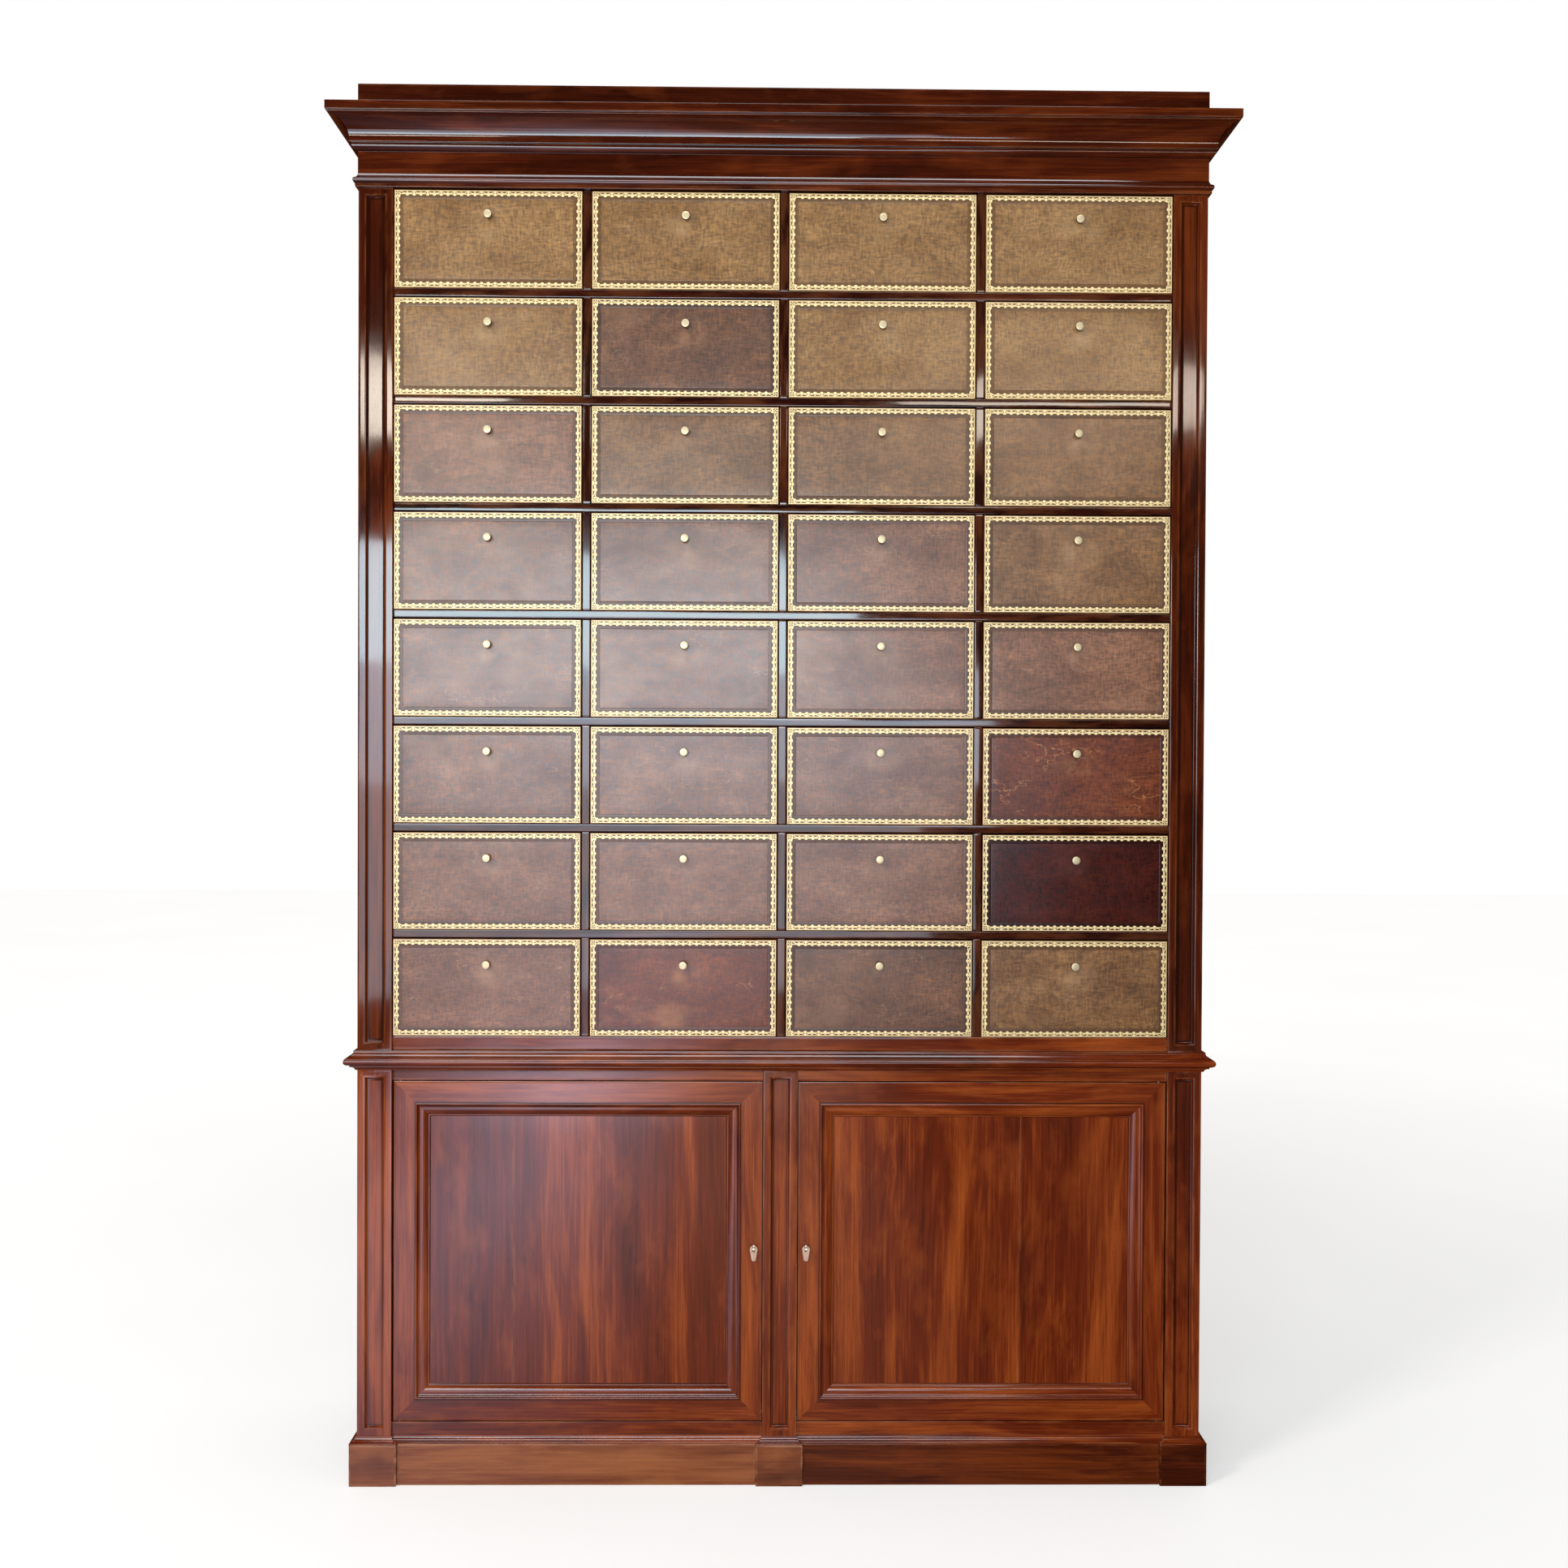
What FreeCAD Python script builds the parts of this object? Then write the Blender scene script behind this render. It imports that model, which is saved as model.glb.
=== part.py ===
import FreeCAD, Part
import math
import os

# A tall cartonnier: leather-fronted filing boxes in a pigeonhole case, on a cupboard with two doors,
# under a moulded cornice. Millimetres, +Z up, the front faces -Y, and the origin is on the floor under
# the middle of the whole object.

Vector = FreeCAD.Vector
UP = Vector(0, 0, 1)
OUT = Vector(0, -1, 0)
ACROSS = Vector(1, 0, 0)

# Pigeonholes, and the case round them
columns = 4
rows = 8
hole_width = 363.0
hole_height = 190.0
divider = 15.0
pilaster_width = 66.0
case_depth = 400.0

# Heights, from the floor up
plinth_height = 80.0
base_moulding_height = 13.0
bottom_rail_height = 25.0
door_opening_height = 662.0
top_rail_height = 21.0
waist_height = 38.0
sill_height = 27.0
astragal_height = 26.0
frieze_height = 42.0
cornice_height = 77.0
attic_height = 52.0

# How far things stand in front of the pilasters, or behind them
plinth_projection = 12.5
waist_projection = 22.0
frieze_proud = 1.0
astragal_projection = 8.5
cornice_projection = 50.0
rail_recess = 7.0
grid_recess = 4.0
carton_proud = 2.0

# Timber
plinth_block_depth = 60.0
plinth_board = 24.0
side_thickness = 22.0
side_member = 58.0
side_panel = 8.0
side_panel_sunk = 6.0
side_groove = 6.0
panel_play = 1.0
back_thickness = 12.0
back_board_count = 8
back_seam = 0.8
floor_thickness = 22.0
rail_depth = 30.0
shelf_thickness = 18.0
shelf_height = 345.0
shelf_setback = 70.0
bearer = 20.0
top_thickness = 20.0
frieze_thickness = 20.0
dust_board = 14.0
dust_board_sunk = 8.0

# Sunk panels of the pilasters
sunk_margin = 14.0
sunk_slope = 5.0
sunk_depth = 6.0

# Cornice section
bed_ovolo = 10.0
bed_fillet = 4.0
bed_step = 3.5
cavetto_rise = 39.0
cornice_quirk = 1.5
quirk_height = 3.5
cornice_lip = 2.5

# Waist section
waist_cove = 9.0
waist_cove_rise = 7.0
waist_fillet = 3.0
waist_nose_height = 14.0
waist_nose_round = 5.0
waist_top_fillet = 3.0
waist_top_ledge = 6.0
waist_cove_fullness = 0.7

# Astragal section
astragal_fillet = 6.0
astragal_fillet_out = 4.5
astragal_bead = 12.0
astragal_bead_root = 3.5
astragal_cove_fullness = 1 / 3

# Base moulding section
base_fillet = 2.5
base_top_fillet = 2.0

# Doors
door_thickness = 26.0
door_gap = 1.5
hinge_gap = 2.0
frame_width = 42.0
panel_sunk = 10.0
panel_thickness = 8.0
panel_groove = 7.0
moulding_width = 28.0
bead_width = 4.5
bead_height = 3.4
hollow_width = 6.5
hollow_depth = 2.6
ogee_foot = 4.0
ogee_fillet = 2.5
hollow_middle = 0.4
hollow_fullness = 0.7
swell_middle = 0.66
swell_fullness = 0.36
stop_gap = 0.5
stop_lath = 12.0
stop_overlap = 11.0

# Pivots of the doors
pivot_inset = 12.0
pivot_setback = 6.0
pin_radius = 3.0
pin_in_rail = 14.0
pin_in_door = 12.0
bush_wall = 1.5
bush_end = 2.0
running_fit = 0.05
press_fit = 0.02

# Locks, bolts and keys
key_height = 456.0
key_backset = 16.0
lock_inset = 6.0
lock_height = 60.0
lock_below_key = 28.0
lock_depth = 12.0
lock_wall = 2.0
bolt_height = 16.0
bolt_thickness = 6.0
bolt_above_key = 9.0
bolt_tail_play = 4.0
bolt_throw = 10.0
bolt_sunk = 0.5
bolt_play = 0.3
notch_depth = 2.2
notch_width = 14.0
strike_play = 1.0
shank_radius = 3.0
bit_thickness = 2.5
bit_length = 5.0
bit_room = 0.8
slot_play = 0.4
liner_wall = 1.2
liner_depth = 6.0
collar_radius = 5.5
collar_thickness = 2.4
collar_gap = 0.6
blade_width = 5.0
blade_round = 3.6
bow_pin_radius = 1.2
bow_pin_out = 11.0
bow_thickness = 3.2
bow_head_radius = 7.5
bow_tip_radius = 4.5
bow_drop = 18.0
bow_pin_share = 0.8
fork_play = 0.3
fork_depth = 4.6

# Cartons
carton_side_play = 1.5
carton_top_play = 2.5
carton_rest_play = 0.3
carton_rear_play = 36.0
carton_wall = 4.0
carton_tray_inset = 1.0
carton_front = 6.5
leather = 1.5
tray_below_top = 6.0
knob_drop = 49.0
knob_stem_radius = 2.0
knob_stem_length = 5.0
knob_flange_radius = 5.2
knob_flange = 1.6
knob_neck_radius = 3.4
knob_neck = 6.5
knob_radius = 8.0
knob_edge = 2.4
knob_dome = 2.6

# Room beyond a mitred corner before it is trimmed, and the size of the block that trims it
mitre_overrun = frieze_thickness + cornice_projection + frame_width + moulding_width
trim_reach = 4 * (columns * hole_width + rows * hole_height)

# Levels worked out from the heights
base_top = plinth_height + base_moulding_height
door_opening_bottom = base_top + bottom_rail_height
door_opening_top = door_opening_bottom + door_opening_height
waist_bottom = door_opening_top + top_rail_height
waist_top = waist_bottom + waist_height
grid_bottom = waist_top + sill_height
row_pitch = hole_height + divider
grid_top = grid_bottom + rows * row_pitch - divider
frieze_bottom = grid_top + astragal_height
cornice_bottom = frieze_bottom + frieze_height
cornice_top = cornice_bottom + cornice_height
attic_top = cornice_top + attic_height

# Widths and depths worked out from the plan
column_pitch = hole_width + divider
half_inner = (columns * column_pitch - divider) / 2
half_case = half_inner + pilaster_width
half_middle = pilaster_width / 2
front = (frieze_proud + cornice_projection - case_depth) / 2
back = front + case_depth
rail_front = front + rail_recess
grid_front = front + grid_recess
back_boards_front = back - back_thickness
half_between_sides = half_case - side_thickness
door_back = rail_front + door_thickness
post_back = door_back + stop_gap

# Lock sizes worked out from the stile that holds it and from the bolt
lock_width = frame_width - lock_inset
bolt_tail = lock_width - lock_wall - key_backset - bolt_tail_play
bit_reach = bolt_above_key + notch_depth - bit_room


def block(x, y, z):
    """A box from its low and high limits on each axis."""
    low = Vector(x[0], y[0], z[0])
    return Part.makeBox(x[1] - x[0], y[1] - y[0], z[1] - z[0], low)


def flipped(shape):
    """The same piece on the other side of the middle."""
    return shape.mirror(Vector(0, 0, 0), ACROSS)


def both_sides(pieces):
    """Pieces and their opposites."""
    return pieces + [flipped(piece) for piece in pieces]


def section_face(steps, origin, sideways, upwards):
    """A flat face from its outline. A step is a point, or a middle point and an end point of an arc."""
    def at(point):
        return origin + sideways * point[0] + upwards * point[1]

    here = at(steps[0])
    edges = []
    for step in steps[1:] + [steps[0]]:
        if isinstance(step[0], tuple):
            there = at(step[1])
            edges.append(Part.Arc(here, at(step[0]), there).toShape())
        else:
            there = at(step)
            edges.append(Part.makeLine(here, there))
        here = there
    return Part.Face(Part.Wire(edges))


def beyond(point, normal):
    """A large block that fills the space past a plane, for trimming."""
    room = Part.makeBox(trim_reach, trim_reach, trim_reach, Vector(0, -trim_reach / 2, -trim_reach / 2))
    room.Placement = FreeCAD.Placement(point, FreeCAD.Rotation(ACROSS, normal))
    return room


def mitred_run(path, steps, upwards, closed=False):
    """One solid for each straight of a path, all with one section, mitred where they meet."""
    count = len(path) if closed else len(path) - 1
    ways = [(path[(i + 1) % len(path)] - path[i]).normalize() for i in range(count)]
    lengths = []
    for i, way in enumerate(ways):
        start, end = path[i], path[(i + 1) % len(path)]
        before = ways[i - 1] if closed or i > 0 else way
        after = ways[(i + 1) % count] if closed or i < count - 1 else way
        origin = start - way * mitre_overrun
        face = section_face(steps, origin, way.cross(upwards), upwards)
        bar = face.extrude(way * ((end - start).Length + 2 * mitre_overrun))
        bar = bar.cut(beyond(end, (way + after).normalize()))
        bar = bar.cut(beyond(start, (way + before).normalize() * -1))
        lengths.append(bar.Solids[0])
    return lengths


def keep(name, pieces):
    """Writes one named group of separate solids."""
    shape = pieces[0] if len(pieces) == 1 else Part.makeCompound(pieces)
    shape.exportStep(os.path.join("parts", name + ".step"))


def round_case(z, inset=0.0):
    """The path round the case's two sides and its front, at one height."""
    x = half_case - inset
    corners = [(-x, back), (-x, front + inset), (x, front + inset), (x, back)]
    return [Vector(px, py, z) for px, py in corners]


def plinth():
    """Three blocks under the pilasters, with recessed boards between and behind them."""
    z = (0.0, plinth_height)
    block_front = front - plinth_projection
    block_back = block_front + plinth_block_depth
    board_front = block_front + rail_recess
    outer = half_case + plinth_projection
    corner_inner = half_inner - plinth_projection
    middle = half_middle + plinth_projection
    side_outer = outer - rail_recess
    left = [
        block((-outer, -corner_inner), (block_front, block_back), z),
        block((-corner_inner, -middle), (board_front, board_front + plinth_board), z),
        block((-side_outer, -side_outer + plinth_board), (block_back, back), z),
    ]
    behind = side_outer - plinth_board
    return both_sides(left) + [
        block((-middle, middle), (block_front, block_back), z),
        block((-behind, behind), (back - plinth_board, back), z),
    ]


def base_moulding():
    """A small cap moulding round the foot of the case, breaking forward round each pilaster."""
    top_out = base_top_fillet
    hollow_level = (base_moulding_height - base_top_fillet) / 2
    hollow = ((plinth_projection + top_out) / 2 - base_fillet, hollow_level)
    steps = [
        (0, 0),
        (plinth_projection, 0),
        (plinth_projection, base_fillet),
        (hollow, (top_out, base_moulding_height - base_top_fillet)),
        (top_out, base_moulding_height),
        (0, base_moulding_height),
    ]
    left = [
        (-half_case, back),
        (-half_case, front),
        (-half_inner, front),
        (-half_inner, rail_front),
        (-half_middle, rail_front),
        (-half_middle, front),
    ]
    right = [(-x, y) for x, y in reversed(left)]
    return mitred_run([Vector(x, y, plinth_height) for x, y in left + right], steps, UP)


def sunk(x, z):
    """The hollow of a pilaster's panel: a flat floor with sloping sides."""
    slope = sunk_slope
    rims = []
    for inset, depth in ((0.0, 0.0), (slope, sunk_depth)):
        low_x, high_x = x[0] + inset, x[1] - inset
        low_z, high_z = z[0] + inset, z[1] - inset
        corners = [(low_x, low_z), (high_x, low_z), (high_x, high_z), (low_x, high_z), (low_x, low_z)]
        rims.append(Part.makePolygon([Vector(px, front + depth, pz) for px, pz in corners]))
    return Part.makeLoft(rims, True, True)


def pilaster(x, z, panel_bottom):
    """A post with a sunk panel in its face."""
    post = block(x, (front, post_back), z)
    panel_z = (panel_bottom + sunk_margin, z[1] - sunk_margin)
    return post.cut(sunk((x[0] + sunk_margin, x[1] - sunk_margin), panel_z))


def lower_pilasters():
    """Two outer posts, the middle post with the bolts' mortises, and the lath that stops the doors."""
    z = (plinth_height, waist_bottom)
    outer = pilaster((-half_case, -half_inner), z, base_top)
    middle = pilaster((-half_middle, half_middle), z, base_top)
    entry = bolt_throw - bolt_sunk - door_gap + strike_play
    mortise = bolt_room((-half_middle, -half_middle + entry), strike_play)
    middle = middle.cut(mortise).cut(flipped(mortise))
    lath_half = half_middle + door_gap + stop_overlap
    lath_z = (door_opening_bottom, door_opening_top)
    lath = block((-lath_half, lath_half), (post_back, post_back + stop_lath), lath_z)
    return both_sides([outer]) + [middle, lath]


def upper_pilasters():
    """Two posts beside the pigeonholes."""
    return both_sides([pilaster((-half_case, -half_inner), (waist_top, grid_top), waist_top)])


def side_stage(z, panels):
    """One framed side: two stiles, rails between them and sunk panels held in grooves."""
    x = (-half_case, -half_case + side_thickness)
    groove_x = (x[0] + side_panel_sunk, x[0] + side_panel_sunk + side_panel)
    front_stile = (post_back, post_back + side_member)
    rear_stile = (back - side_member, back)
    span = (front_stile[1], rear_stile[0])
    opening = (z[1] - z[0] - (panels + 1) * side_member) / panels
    stiles = [block(x, front_stile, z), block(x, rear_stile, z)]
    rails = []
    fields = []
    for i in range(panels + 1):
        low = z[0] + i * (opening + side_member)
        rails.append(block(x, span, (low, low + side_member)))
    for i in range(panels):
        low = z[0] + side_member + i * (opening + side_member)
        hollow_y = (span[0] - side_groove, span[1] + side_groove)
        hollow = block(groove_x, hollow_y, (low - side_groove, low + opening + side_groove))
        stiles = [stile.cut(hollow) for stile in stiles]
        rails = [rail.cut(hollow) for rail in rails]
        field_y = (hollow_y[0] + panel_play, hollow_y[1] - panel_play)
        field_z = (low - side_groove + panel_play, low + opening + side_groove - panel_play)
        fields.append(block(groove_x, field_y, field_z))
    return stiles + rails + fields


def case_sides():
    """The framed sides of the cupboard and of the pigeonhole case."""
    lower = side_stage((plinth_height, waist_bottom), 1)
    upper = side_stage((waist_top, grid_top), 2)
    return both_sides(lower + upper)


def rails():
    """The bottom and top rails of the cupboard, with a hole for each pivot pin."""
    y = (rail_front, rail_front + rail_depth)
    bottom = block((-half_inner, -half_middle), y, (plinth_height, door_opening_bottom))
    top = block((-half_inner, -half_middle), y, (door_opening_top, waist_bottom))
    pin_z = (door_opening_bottom - pin_in_rail, door_opening_top + pin_in_rail)
    holes = Part.makeCylinder(pin_radius + press_fit, pin_z[1] - pin_z[0], pivot_point(pin_z[0]), UP)
    return both_sides([bottom.cut(holes), top.cut(holes)])


def pivot_point(z):
    """A point on the left door's turning axis."""
    return Vector(-half_inner + hinge_gap + pivot_inset, rail_front + pivot_setback, z)


def pivot_pins():
    """Four steel pins set in the rails."""
    length = pin_in_rail + door_gap + pin_in_door
    lower = Part.makeCylinder(pin_radius, length, pivot_point(door_opening_bottom - pin_in_rail), UP)
    upper_start = door_opening_top - door_gap - pin_in_door
    upper = Part.makeCylinder(pin_radius, length, pivot_point(upper_start), UP)
    return both_sides([lower, upper])


def cupboard_floor():
    """The board that closes the cupboard below, level with the bottom rail."""
    y = (rail_front + rail_depth, back_boards_front)
    z = (door_opening_bottom - floor_thickness, door_opening_bottom)
    return [block((-half_between_sides, half_between_sides), y, z)]


def cupboard_shelf():
    """A shelf across the cupboard, with a bearer under each end and along the back."""
    z = door_opening_bottom + shelf_height
    y = (rail_front + shelf_setback, back_boards_front)
    board = block((-half_between_sides, half_between_sides), y, (z, z + shelf_thickness))
    end = block((-half_between_sides, -half_between_sides + bearer), (y[0], y[1] - bearer), (z - bearer, z))
    rear = block((-half_between_sides, half_between_sides), (y[1] - bearer, y[1]), (z - bearer, z))
    return [board, rear] + both_sides([end])


def back_boards():
    """Upright boards, side by side, behind each stage."""
    width = 2 * half_between_sides / back_board_count
    boards = []
    for low, high in ((plinth_height, waist_bottom), (waist_top, grid_top)):
        for i in range(back_board_count):
            start = -half_between_sides + i * width
            x = (start + back_seam / 2, start + width - back_seam / 2)
            boards.append(block(x, (back_boards_front, back), (low, high)))
    return boards


def waist_board():
    """The thick board between the two stages, with its edge moulding on three sides."""
    nose_low = waist_cove_rise + waist_fillet + waist_fillet / 2
    nose_high = nose_low + waist_nose_height
    nose_back = waist_projection - waist_nose_round
    shoulder = waist_cove + waist_fillet
    upper_hollow = ((shoulder + waist_top_ledge) / 2 - waist_fillet / 2, (nose_high + waist_height) / 2)
    steps = [
        (0, 0),
        (waist_fillet, 0),
        ((shoulder / 2, waist_cove_rise * waist_cove_fullness), (shoulder, waist_cove_rise)),
        (shoulder, waist_cove_rise + waist_fillet),
        (nose_back, nose_low),
        ((waist_projection, (nose_low + nose_high) / 2), (nose_back, nose_high)),
        (shoulder + waist_fillet / 2, nose_high),
        (upper_hollow, (waist_top_ledge, waist_height - waist_top_fillet)),
        (waist_top_ledge, waist_height),
        (0, waist_height),
    ]
    slab = block((-half_case, half_case), (front, back), (waist_bottom, waist_top))
    return [slab] + mitred_run(round_case(waist_bottom), steps, UP)


def pigeonhole_shelves():
    """The bottom board, the shelves between the rows, and the board over the top row."""
    y = (grid_front, back_boards_front)
    boards = [block((-half_between_sides, half_between_sides), (post_back, y[1]), (waist_top, grid_bottom))]
    boards.append(block((-half_inner, half_inner), (y[0], post_back), (waist_top, grid_bottom)))
    for row in range(1, rows):
        low = grid_bottom + row * row_pitch - divider
        boards.append(block((-half_inner, half_inner), y, (low, low + divider)))
    lid_y = (front - frieze_proud + frieze_thickness, back - frieze_thickness)
    lid_x = half_case + frieze_proud - frieze_thickness
    boards.append(block((-lid_x, lid_x), lid_y, (grid_top, grid_top + top_thickness)))
    return boards


def pigeonhole_uprights():
    """Two end boards behind the pilasters, and short uprights between the shelves."""
    y = (grid_front, back_boards_front)
    end = block((-half_inner - divider, -half_inner), (post_back, y[1]), (grid_bottom, grid_top))
    pieces = both_sides([end])
    for row in range(rows):
        low = grid_bottom + row * row_pitch
        for column in range(1, columns):
            start = -half_inner + column * column_pitch - divider
            pieces.append(block((start, start + divider), y, (low, low + hole_height)))
    return pieces


def boxed_frame(z):
    """Four boards mitred at the front corners, closed by one across the back."""
    steps = [
        (frieze_proud - frieze_thickness, 0),
        (frieze_proud, 0),
        (frieze_proud, z[1] - z[0]),
        (frieze_proud - frieze_thickness, z[1] - z[0]),
    ]
    inner = half_case + frieze_proud - frieze_thickness
    rear = block((-inner, inner), (back - frieze_thickness, back), z)
    return mitred_run(round_case(z[0]), steps, UP) + [rear]


def frieze():
    """The frieze boards, which run up behind the cornice, and the astragal along their foot."""
    bead_high = astragal_fillet + astragal_bead
    out = frieze_proud
    cove = (out + astragal_bead_root * astragal_cove_fullness, (bead_high + astragal_height) / 2)
    middle = (out + astragal_projection, (astragal_fillet + bead_high) / 2)
    steps = [
        (out, 0),
        (out + astragal_fillet_out, 0),
        (out + astragal_fillet_out, astragal_fillet),
        (out + astragal_bead_root, astragal_fillet),
        (middle, (out + astragal_bead_root, bead_high)),
        (cove, (out, astragal_height)),
    ]
    return boxed_frame((grid_top, cornice_top)) + mitred_run(round_case(grid_top), steps, UP)


def cornice():
    """An ovolo and fillets, a broad cavetto and a top fillet, in three mitred lengths."""
    wall = frieze_proud
    foot = wall + bed_ovolo + bed_step
    foot_z = bed_ovolo + 2 * bed_fillet
    brow = wall + cornice_projection - cornice_lip - cornice_quirk
    brow_z = foot_z + cavetto_rise
    turn = 0.5 ** 0.5
    hollow = (foot + (brow - foot) * (1 - turn), foot_z + cavetto_rise * turn)
    edge = wall + cornice_projection
    steps = [
        (wall, 0),
        ((wall + bed_ovolo * turn, bed_ovolo * (1 - turn)), (wall + bed_ovolo, bed_ovolo)),
        (wall + bed_ovolo, bed_ovolo + bed_fillet),
        (foot, bed_ovolo + bed_fillet),
        (foot, foot_z),
        (hollow, (brow, brow_z)),
        (edge - cornice_lip, brow_z),
        (edge - cornice_lip, brow_z + quirk_height),
        (edge, brow_z + quirk_height),
        (edge, cornice_height),
        (wall, cornice_height),
    ]
    return mitred_run(round_case(cornice_bottom), steps, UP)


def attic():
    """The plain boards above the cornice, with a dust board let in just under their top."""
    inner = half_case + frieze_proud - frieze_thickness
    y = (front - frieze_proud + frieze_thickness, back - frieze_thickness)
    z = (attic_top - dust_board_sunk - dust_board, attic_top - dust_board_sunk)
    return boxed_frame((cornice_top, attic_top)) + [block((-inner, inner), y, z)]


def door_path():
    """The left door's outer edge, clockwise as seen from the front."""
    x = (-half_inner + hinge_gap, -half_middle - door_gap)
    z = (door_opening_bottom + door_gap, door_opening_top - door_gap)
    corners = [(x[0], z[1]), (x[1], z[1]), (x[1], z[0]), (x[0], z[0])]
    return [Vector(px, rail_front, pz) for px, pz in corners]


def key_point(y):
    """A point on the left key's turning axis."""
    return Vector(-half_middle - door_gap - key_backset, y, key_height)


def keyhole(play, y):
    """A round hole with a slot below it, between two depths."""
    centre = key_point(y[0])
    length = y[1] - y[0]
    round_part = Part.makeCylinder(shank_radius + play, length, centre, OUT * -1)
    half_slot = bit_thickness / 2 + slot_play + play
    low = centre.z - bit_reach - slot_play - play
    slot = block((centre.x - half_slot, centre.x + half_slot), y, (low, centre.z))
    return round_part.fuse(slot).removeSplitter()


def bolt_room(x, play):
    """The space that the bolt's section fills over a stretch of X, with room round it."""
    low = key_height + bolt_above_key - play
    middle = door_back - lock_depth / 2
    half = bolt_thickness / 2 + play
    return block(x, (middle - half, middle + half), (low, low + bolt_height + 2 * play))


def lock_space():
    """The box that the lock case fills in the back of the left door's inner stile."""
    edge = -half_middle - door_gap
    low = key_height - lock_below_key
    return block((edge - lock_width, edge), (door_back - lock_depth, door_back), (low, low + lock_height))


def bush_space(radius, length, z):
    """A cylinder on the door's axis, starting at one height."""
    return Part.makeCylinder(radius, length, pivot_point(z), UP)


def door_frame():
    """Four mitred members grooved for the panel, with the applied moulding round the opening."""
    inner = frame_width + bead_width
    floor = -panel_sunk - panel_thickness
    steps = [
        (0, 0),
        (inner, 0),
        (inner, -panel_sunk),
        (inner - panel_groove, -panel_sunk),
        (inner - panel_groove, floor),
        (inner, floor),
        (inner, -door_thickness),
        (0, -door_thickness),
    ]
    members = mitred_run(door_path(), steps, OUT, closed=True)
    depth = pin_in_door + bush_end
    bush_radius = pin_radius + running_fit + bush_wall + press_fit
    bottom = door_opening_bottom + door_gap
    top = door_opening_top - door_gap
    liner = keyhole(liner_wall, (rail_front, rail_front + liner_depth))
    cuts = [
        bush_space(bush_radius, depth, bottom),
        bush_space(bush_radius, depth, top - depth),
        lock_space(),
        keyhole(running_fit, (rail_front, door_back)),
        liner,
    ]
    for cut in cuts:
        members = [member.cut(cut) for member in members]
    return members + door_moulding()


def door_moulding():
    """Bead, hollow, ogee and fillet, lapping the frame and falling to the sunk panel."""
    start = frame_width
    bead_end = start + bead_width
    bead_base = bead_height / 2
    ogee_start = bead_end + hollow_width
    end = start + moulding_width
    fillet_start = end - ogee_foot
    fillet_level = -panel_sunk + ogee_fillet
    hollow = (bead_end + hollow_width * hollow_middle, -hollow_depth * hollow_fullness)
    ogee_width = fillet_start - ogee_start
    ogee_fall = fillet_level + hollow_depth
    swell = (ogee_start + ogee_width * swell_middle, -hollow_depth + ogee_fall * swell_fullness)
    steps = [
        (start, 0),
        (start, bead_base),
        ((start + bead_width / 2, bead_height), (bead_end, bead_base)),
        (bead_end, bead_base / 2),
        (hollow, (ogee_start, -hollow_depth)),
        (swell, (fillet_start, fillet_level)),
        (fillet_start + ogee_foot / 2, fillet_level),
        (end, -panel_sunk),
        (bead_end, -panel_sunk),
        (bead_end, 0),
    ]
    return mitred_run(door_path(), steps, OUT, closed=True)


def door_panel():
    """The flat panel, with a little play in its grooves."""
    inset = frame_width + bead_width - panel_groove + panel_play
    corners = door_path()
    x = (corners[0].x + inset, corners[1].x - inset)
    z = (corners[2].z + inset, corners[1].z - inset)
    face = rail_front + panel_sunk
    return [block(x, (face, face + panel_thickness), z)]


def door_fittings():
    """Two pivot bushes, the lock case and the keyhole's brass liner."""
    bottom = door_opening_bottom + door_gap
    top = door_opening_top - door_gap
    depth = pin_in_door + bush_end
    outer = pin_radius + running_fit + bush_wall
    inner = pin_radius + running_fit
    lower = bush_space(outer, depth, bottom).cut(bush_space(inner, pin_in_door + bush_end / 2, bottom))
    upper_bore = bush_space(inner, pin_in_door + bush_end / 2, top - pin_in_door - bush_end / 2)
    upper = bush_space(outer, depth, top - depth).cut(upper_bore)
    case = lock_space()
    limits = case.BoundBox
    channel_x = (limits.XMin + lock_wall, limits.XMax)
    case = case.cut(bolt_room(channel_x, bolt_play))
    room = bit_reach + bit_room
    axis = key_point(0)
    chamber_y = (limits.YMin + lock_wall, limits.YMax - lock_wall)
    chamber = block((axis.x - room, axis.x + room), chamber_y, (axis.z - room, axis.z + bolt_above_key))
    case = case.cut(chamber)
    case = case.cut(keyhole(running_fit, (limits.YMin, chamber_y[0])))
    spindle = Part.makeCylinder(shank_radius + running_fit, lock_wall, key_point(chamber_y[1]), OUT * -1)
    case = case.cut(spindle)
    liner_y = (rail_front, rail_front + liner_depth)
    liner = keyhole(liner_wall, liner_y).cut(keyhole(running_fit, liner_y))
    return [lower, upper, case, liner]


def bolt():
    """The lock's bolt, drawn back, with the notch that the key's bit works in."""
    axis = key_point(0)
    body = bolt_room((axis.x - bolt_tail, axis.x + key_backset - bolt_sunk), 0.0)
    limits = body.BoundBox
    middle = axis.x - bolt_throw / 2
    notch_x = (middle - notch_width / 2, middle + notch_width / 2)
    notch = block(notch_x, (limits.YMin, limits.YMax), (limits.ZMin, limits.ZMin + notch_depth))
    return [body.cut(notch)]


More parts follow.
